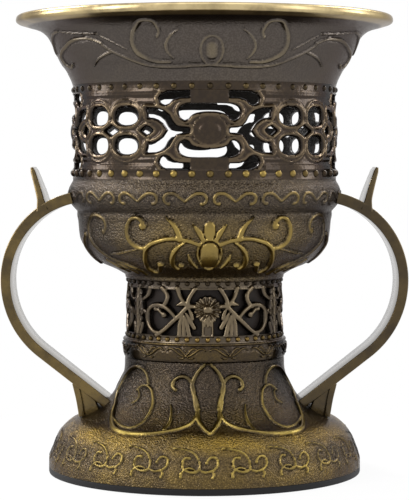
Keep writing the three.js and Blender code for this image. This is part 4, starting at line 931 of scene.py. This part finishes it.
bolt_outline = [(0, 18.4), (2.2, 18.4), (2.5, 18.75), (2.5, 50.5), (4.5, 50.5), (4.8, 50.8), (4.75, 51.6),
                (4.2, 52.7), (3, 53.3), (1.5, 53.5), (0, 53.5)]
bolt = closed_turning("tie_bolt_steel", bolt_outline, 48, zinc_plate)
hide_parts("tie_bolt")
washer_outline = [(2.8, 24.8), (2.8, 24), (2.9, 23.9), (6.3, 23.9), (6.5, 24.1), (6.5, 24.7), (6.3, 24.9),
                  (2.9, 24.9)]
washer = turned_ring("tie_washer_steel", washer_outline, 64, zinc_plate)
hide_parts("tie_washer")
nut_sides, nut_columns, nut_corner, nut_bore, nut_chamfer = 6, 72, 4.6, 2.8, 4.1
turn, side_turn = turns_round(nut_columns), math.pi / nut_sides
hexagon = nut_corner * math.cos(side_turn) / np.cos((turn + side_turn) % (2 * side_turn) - side_turn)
chamfered = np.minimum(hexagon, nut_chamfer)
nut_rings = [(nut_bore, 19.9), (chamfered, 19.9), (hexagon, 20.3), (hexagon, 23.5), (chamfered, 23.9),
             (nut_bore, 23.9)]
nut_points = np.vstack([spun(radius, turn, level) for radius, level in nut_rings])
nut_faces = ring_faces(len(nut_rings), nut_columns)
nut = place_piece("tie_nut_steel", nut_points, nut_faces, zinc_plate, sharp_degrees=25)
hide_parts("tie_nut")


# Handles: straps cast in zinc with square edges, plated satin antique bronze, the edges rubbed to olive gold.
# Each has a thumb spur, a peg peened over inside the bowl, and a leg screwed down to the foot.
# Satin bronze plate: brown, brass in worn clouds of about 6 mm and along the edges, with a cast skin of 0.7 mm
# grains, coarser than real ones so that they show, under a clear lacquer.
strap_bronze, tree, shader, place = principled("satin_bronze_handles")
rub_and_sheen = add_node(tree, "ShaderNodeAttribute", attribute_name="rub_and_sheen").outputs["Fac"]
cloud = add_node(tree, "ShaderNodeTexNoise", {"Vector": place, "Scale": per_metre(6.25), "Detail": 5.0,
                                              "Roughness": 0.65})
fine = add_node(tree, "ShaderNodeTexNoise", {"Vector": place, "Scale": per_metre(5 / 7), "Detail": 2.0})
patches = add_node(tree, "ShaderNodeMapRange", {"Value": cloud, "From Min": 0.35, "From Max": 0.65,
                                                "To Min": 0.35, "To Max": 1.0})
wear_and_sheen = add_node(tree, "ShaderNodeMath", {0: rub_and_sheen, 1: patches}, operation="MULTIPLY", use_clamp=True)
colour = add_node(tree, "ShaderNodeMix", {0: wear_and_sheen, 6: linear("#261d13"), 7: linear("#a08648")},
                  data_type="RGBA")
rough = add_node(tree, "ShaderNodeMapRange", {"Value": cloud, "To Min": 0.2, "To Max": 0.32})
bump = add_node(tree, "ShaderNodeBump", {"Height": fine, "Strength": 0.25, "Distance": 0.1 * millimetre})
set_inputs(tree, shader, {"Base Color": colour, "Roughness": rough, "Metallic": 1.0, "Normal": bump,
                          "Coat Weight": 0.5, "Coat Roughness": 0.12})

strap_thick, strap_thick_top, edge_round = 2.3, 2.7, 0.28
strap_levels, strap_depths = [13.4, 69.0], [11.5, 18.5]
# The right handle keeps under half the left one's brass: painted shade on the right-hand handle.
edge_rub, side_rub, face_rub, handle_shade_shares = 1.0, 0.4, 0.3, {-1: 1.0, 1: 0.45}
arc_radius, arc_x, arc_z = 21.62, 25.93, 46.5
arc_top_degrees, upper_tuck = 73.5, 1.25
run_end_degrees, lower_swell, run_length, spur_root_degrees = -51.9, 0.35, 20.5, 53


def strap_depth(level):
    return np.interp(level, strap_levels, strap_depths)


def swept_bar(path, thick, depth, side):
    """A bar along a path in the side plane: square section, its edges rounded, capped at both ends."""
    path = np.asarray(path, float)
    tangent = np.gradient(path, axis=0)
    tangent /= np.hypot(*tangent.T)[:, None]
    across = np.stack([-tangent[:, 1], tangent[:, 0]], axis=1)
    corner = [(math.cos(a), math.sin(a)) for a in np.linspace(0, math.pi / 2, 4)]
    thick, depth = np.broadcast_to(thick, len(path)), np.broadcast_to(depth, len(path))
    rings, rub_and_sheen = [], []
    for spot, (centre, out) in enumerate(zip(path, across)):
        half, deep = thick[spot] / 2 - edge_round, depth[spot] / 2 - edge_round
        section = []
        for sx, sy, steps in [(1, 1, corner), (-1, 1, corner[::-1]), (-1, -1, corner), (1, -1, corner[::-1])]:
            section += [(sx * (half + edge_round * cx), sy * (deep + edge_round * cy)) for cx, cy in steps]
        rings.append([(centre[0] + a * out[0], b, centre[1] + a * out[1]) for a, b in section])
        for off in (abs(b) - deep for a, b in section):
            rub_and_sheen.append(edge_rub if 0 < off < 0.8 * edge_round else side_rub if off > 0 else face_rub)
    count = len(rings[0])
    points = np.array(rings).reshape(-1, 3)
    faces = list(ring_faces(len(rings), count, close=False))
    faces += [tuple(range(count)), tuple(range(len(points) - 1, len(points) - 1 - count, -1))]
    if side < 0:
        points = points * (-1, 1, 1)
        faces = [face[::-1] for face in faces]
    return points, faces, rub_and_sheen


def handle(name, side):
    sweep = np.radians(np.linspace(arc_top_degrees, run_end_degrees, 60))
    reach = arc_radius + lower_swell * np.clip(sweep / math.radians(run_end_degrees), 0, 1)
    reach -= upper_tuck * np.clip(sweep / math.radians(arc_top_degrees), 0, 1) ** 1.5
    arc = np.stack([arc_x + reach * np.cos(sweep), arc_z + reach * np.sin(sweep)], axis=1)
    slope = math.radians(run_end_degrees + 90)
    run = arc[-1] - np.linspace(1, run_length, 12)[:, None] * (math.cos(slope), math.sin(slope))
    strap = np.vstack([arc, run])
    lean = math.radians(spur_root_degrees)
    root = np.array([arc_x + arc_radius * math.cos(lean), arc_z + arc_radius * math.sin(lean)])
    spur = flow([root + (-0.3, -0.6), root + (0.3, 2.4), root + (1.2, 5.4), root + (2.6, 9.6)], 0.5)
    spur_thick = np.interp(np.arange(len(spur)), [0, 5, len(spur) - 3, len(spur) - 1], [2.8, 1.7, 1.15, 0.6])
    spur_depth = np.interp(np.arange(len(spur)), [0, 5, len(spur) - 1], [18.3, 17.0, 10.0])
    leg = flow([(31, 21.6), (30.1, 17.8), (29.4, 13.6)], 0.8)
    web = flow([(29.7, 19.9), (28.5, 17), (27.3, 13.7)], 0.8)
    strap_thicks = np.interp(strap[:, 1], [46.5, 66.0], [strap_thick, strap_thick_top])
    web_thick = np.interp(np.arange(len(web)), [0, 4, len(web) - 1], [2.0, 4.6, 4.6])
    parts = [(strap, strap_thicks, strap_depth(strap[:, 1])), (spur, spur_thick, spur_depth),
             (leg, 1.5, strap_depth(leg[:, 1]) - 0.6), (web, web_thick, strap_depth(web[:, 1]) - 3.0)]
    points, faces, rub_and_sheen = [], [], []
    for path, thick, depth in parts:
        part_points, part_faces, part_rub = swept_bar(path, thick, depth, side)
        faces += [[v + len(rub_and_sheen) for v in face] for face in part_faces]
        points.append(part_points)
        rub_and_sheen += part_rub
    marks = {"rub_and_sheen": np.array(rub_and_sheen) * handle_shade_shares[side]}
    thing = place_piece(name + "_strap", np.vstack(points), faces, strap_bronze, sharp_degrees=40, marks=marks)
    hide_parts(name)


handle("handle_left", -1)
handle("handle_right", 1)


# Handle screws: cheese-head screws of the same zinc-plated steel. Each goes up from inside the foot, through
# its boss, into one handle's leg.
screw_outline = [(0, 9.1), (1.2, 9.15), (1.85, 9.4), (2.1, 9.8), (2.1, 10.4), (1, 10.4), (1, 17.9), (0.6, 18.4),
                 (0, 18.4)]
for side, screw_name in [(-1, "handle_screw_left"), (1, "handle_screw_right")]:
    screw = closed_turning(screw_name + "_steel", screw_outline, 32, zinc_plate)
    screw.data.transform(((1, 0, 0, side * screw_reach * millimetre), (0, 1, 0, 0), (0, 0, 1, 0), (0, 0, 0, 1)))
    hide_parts(screw_name)
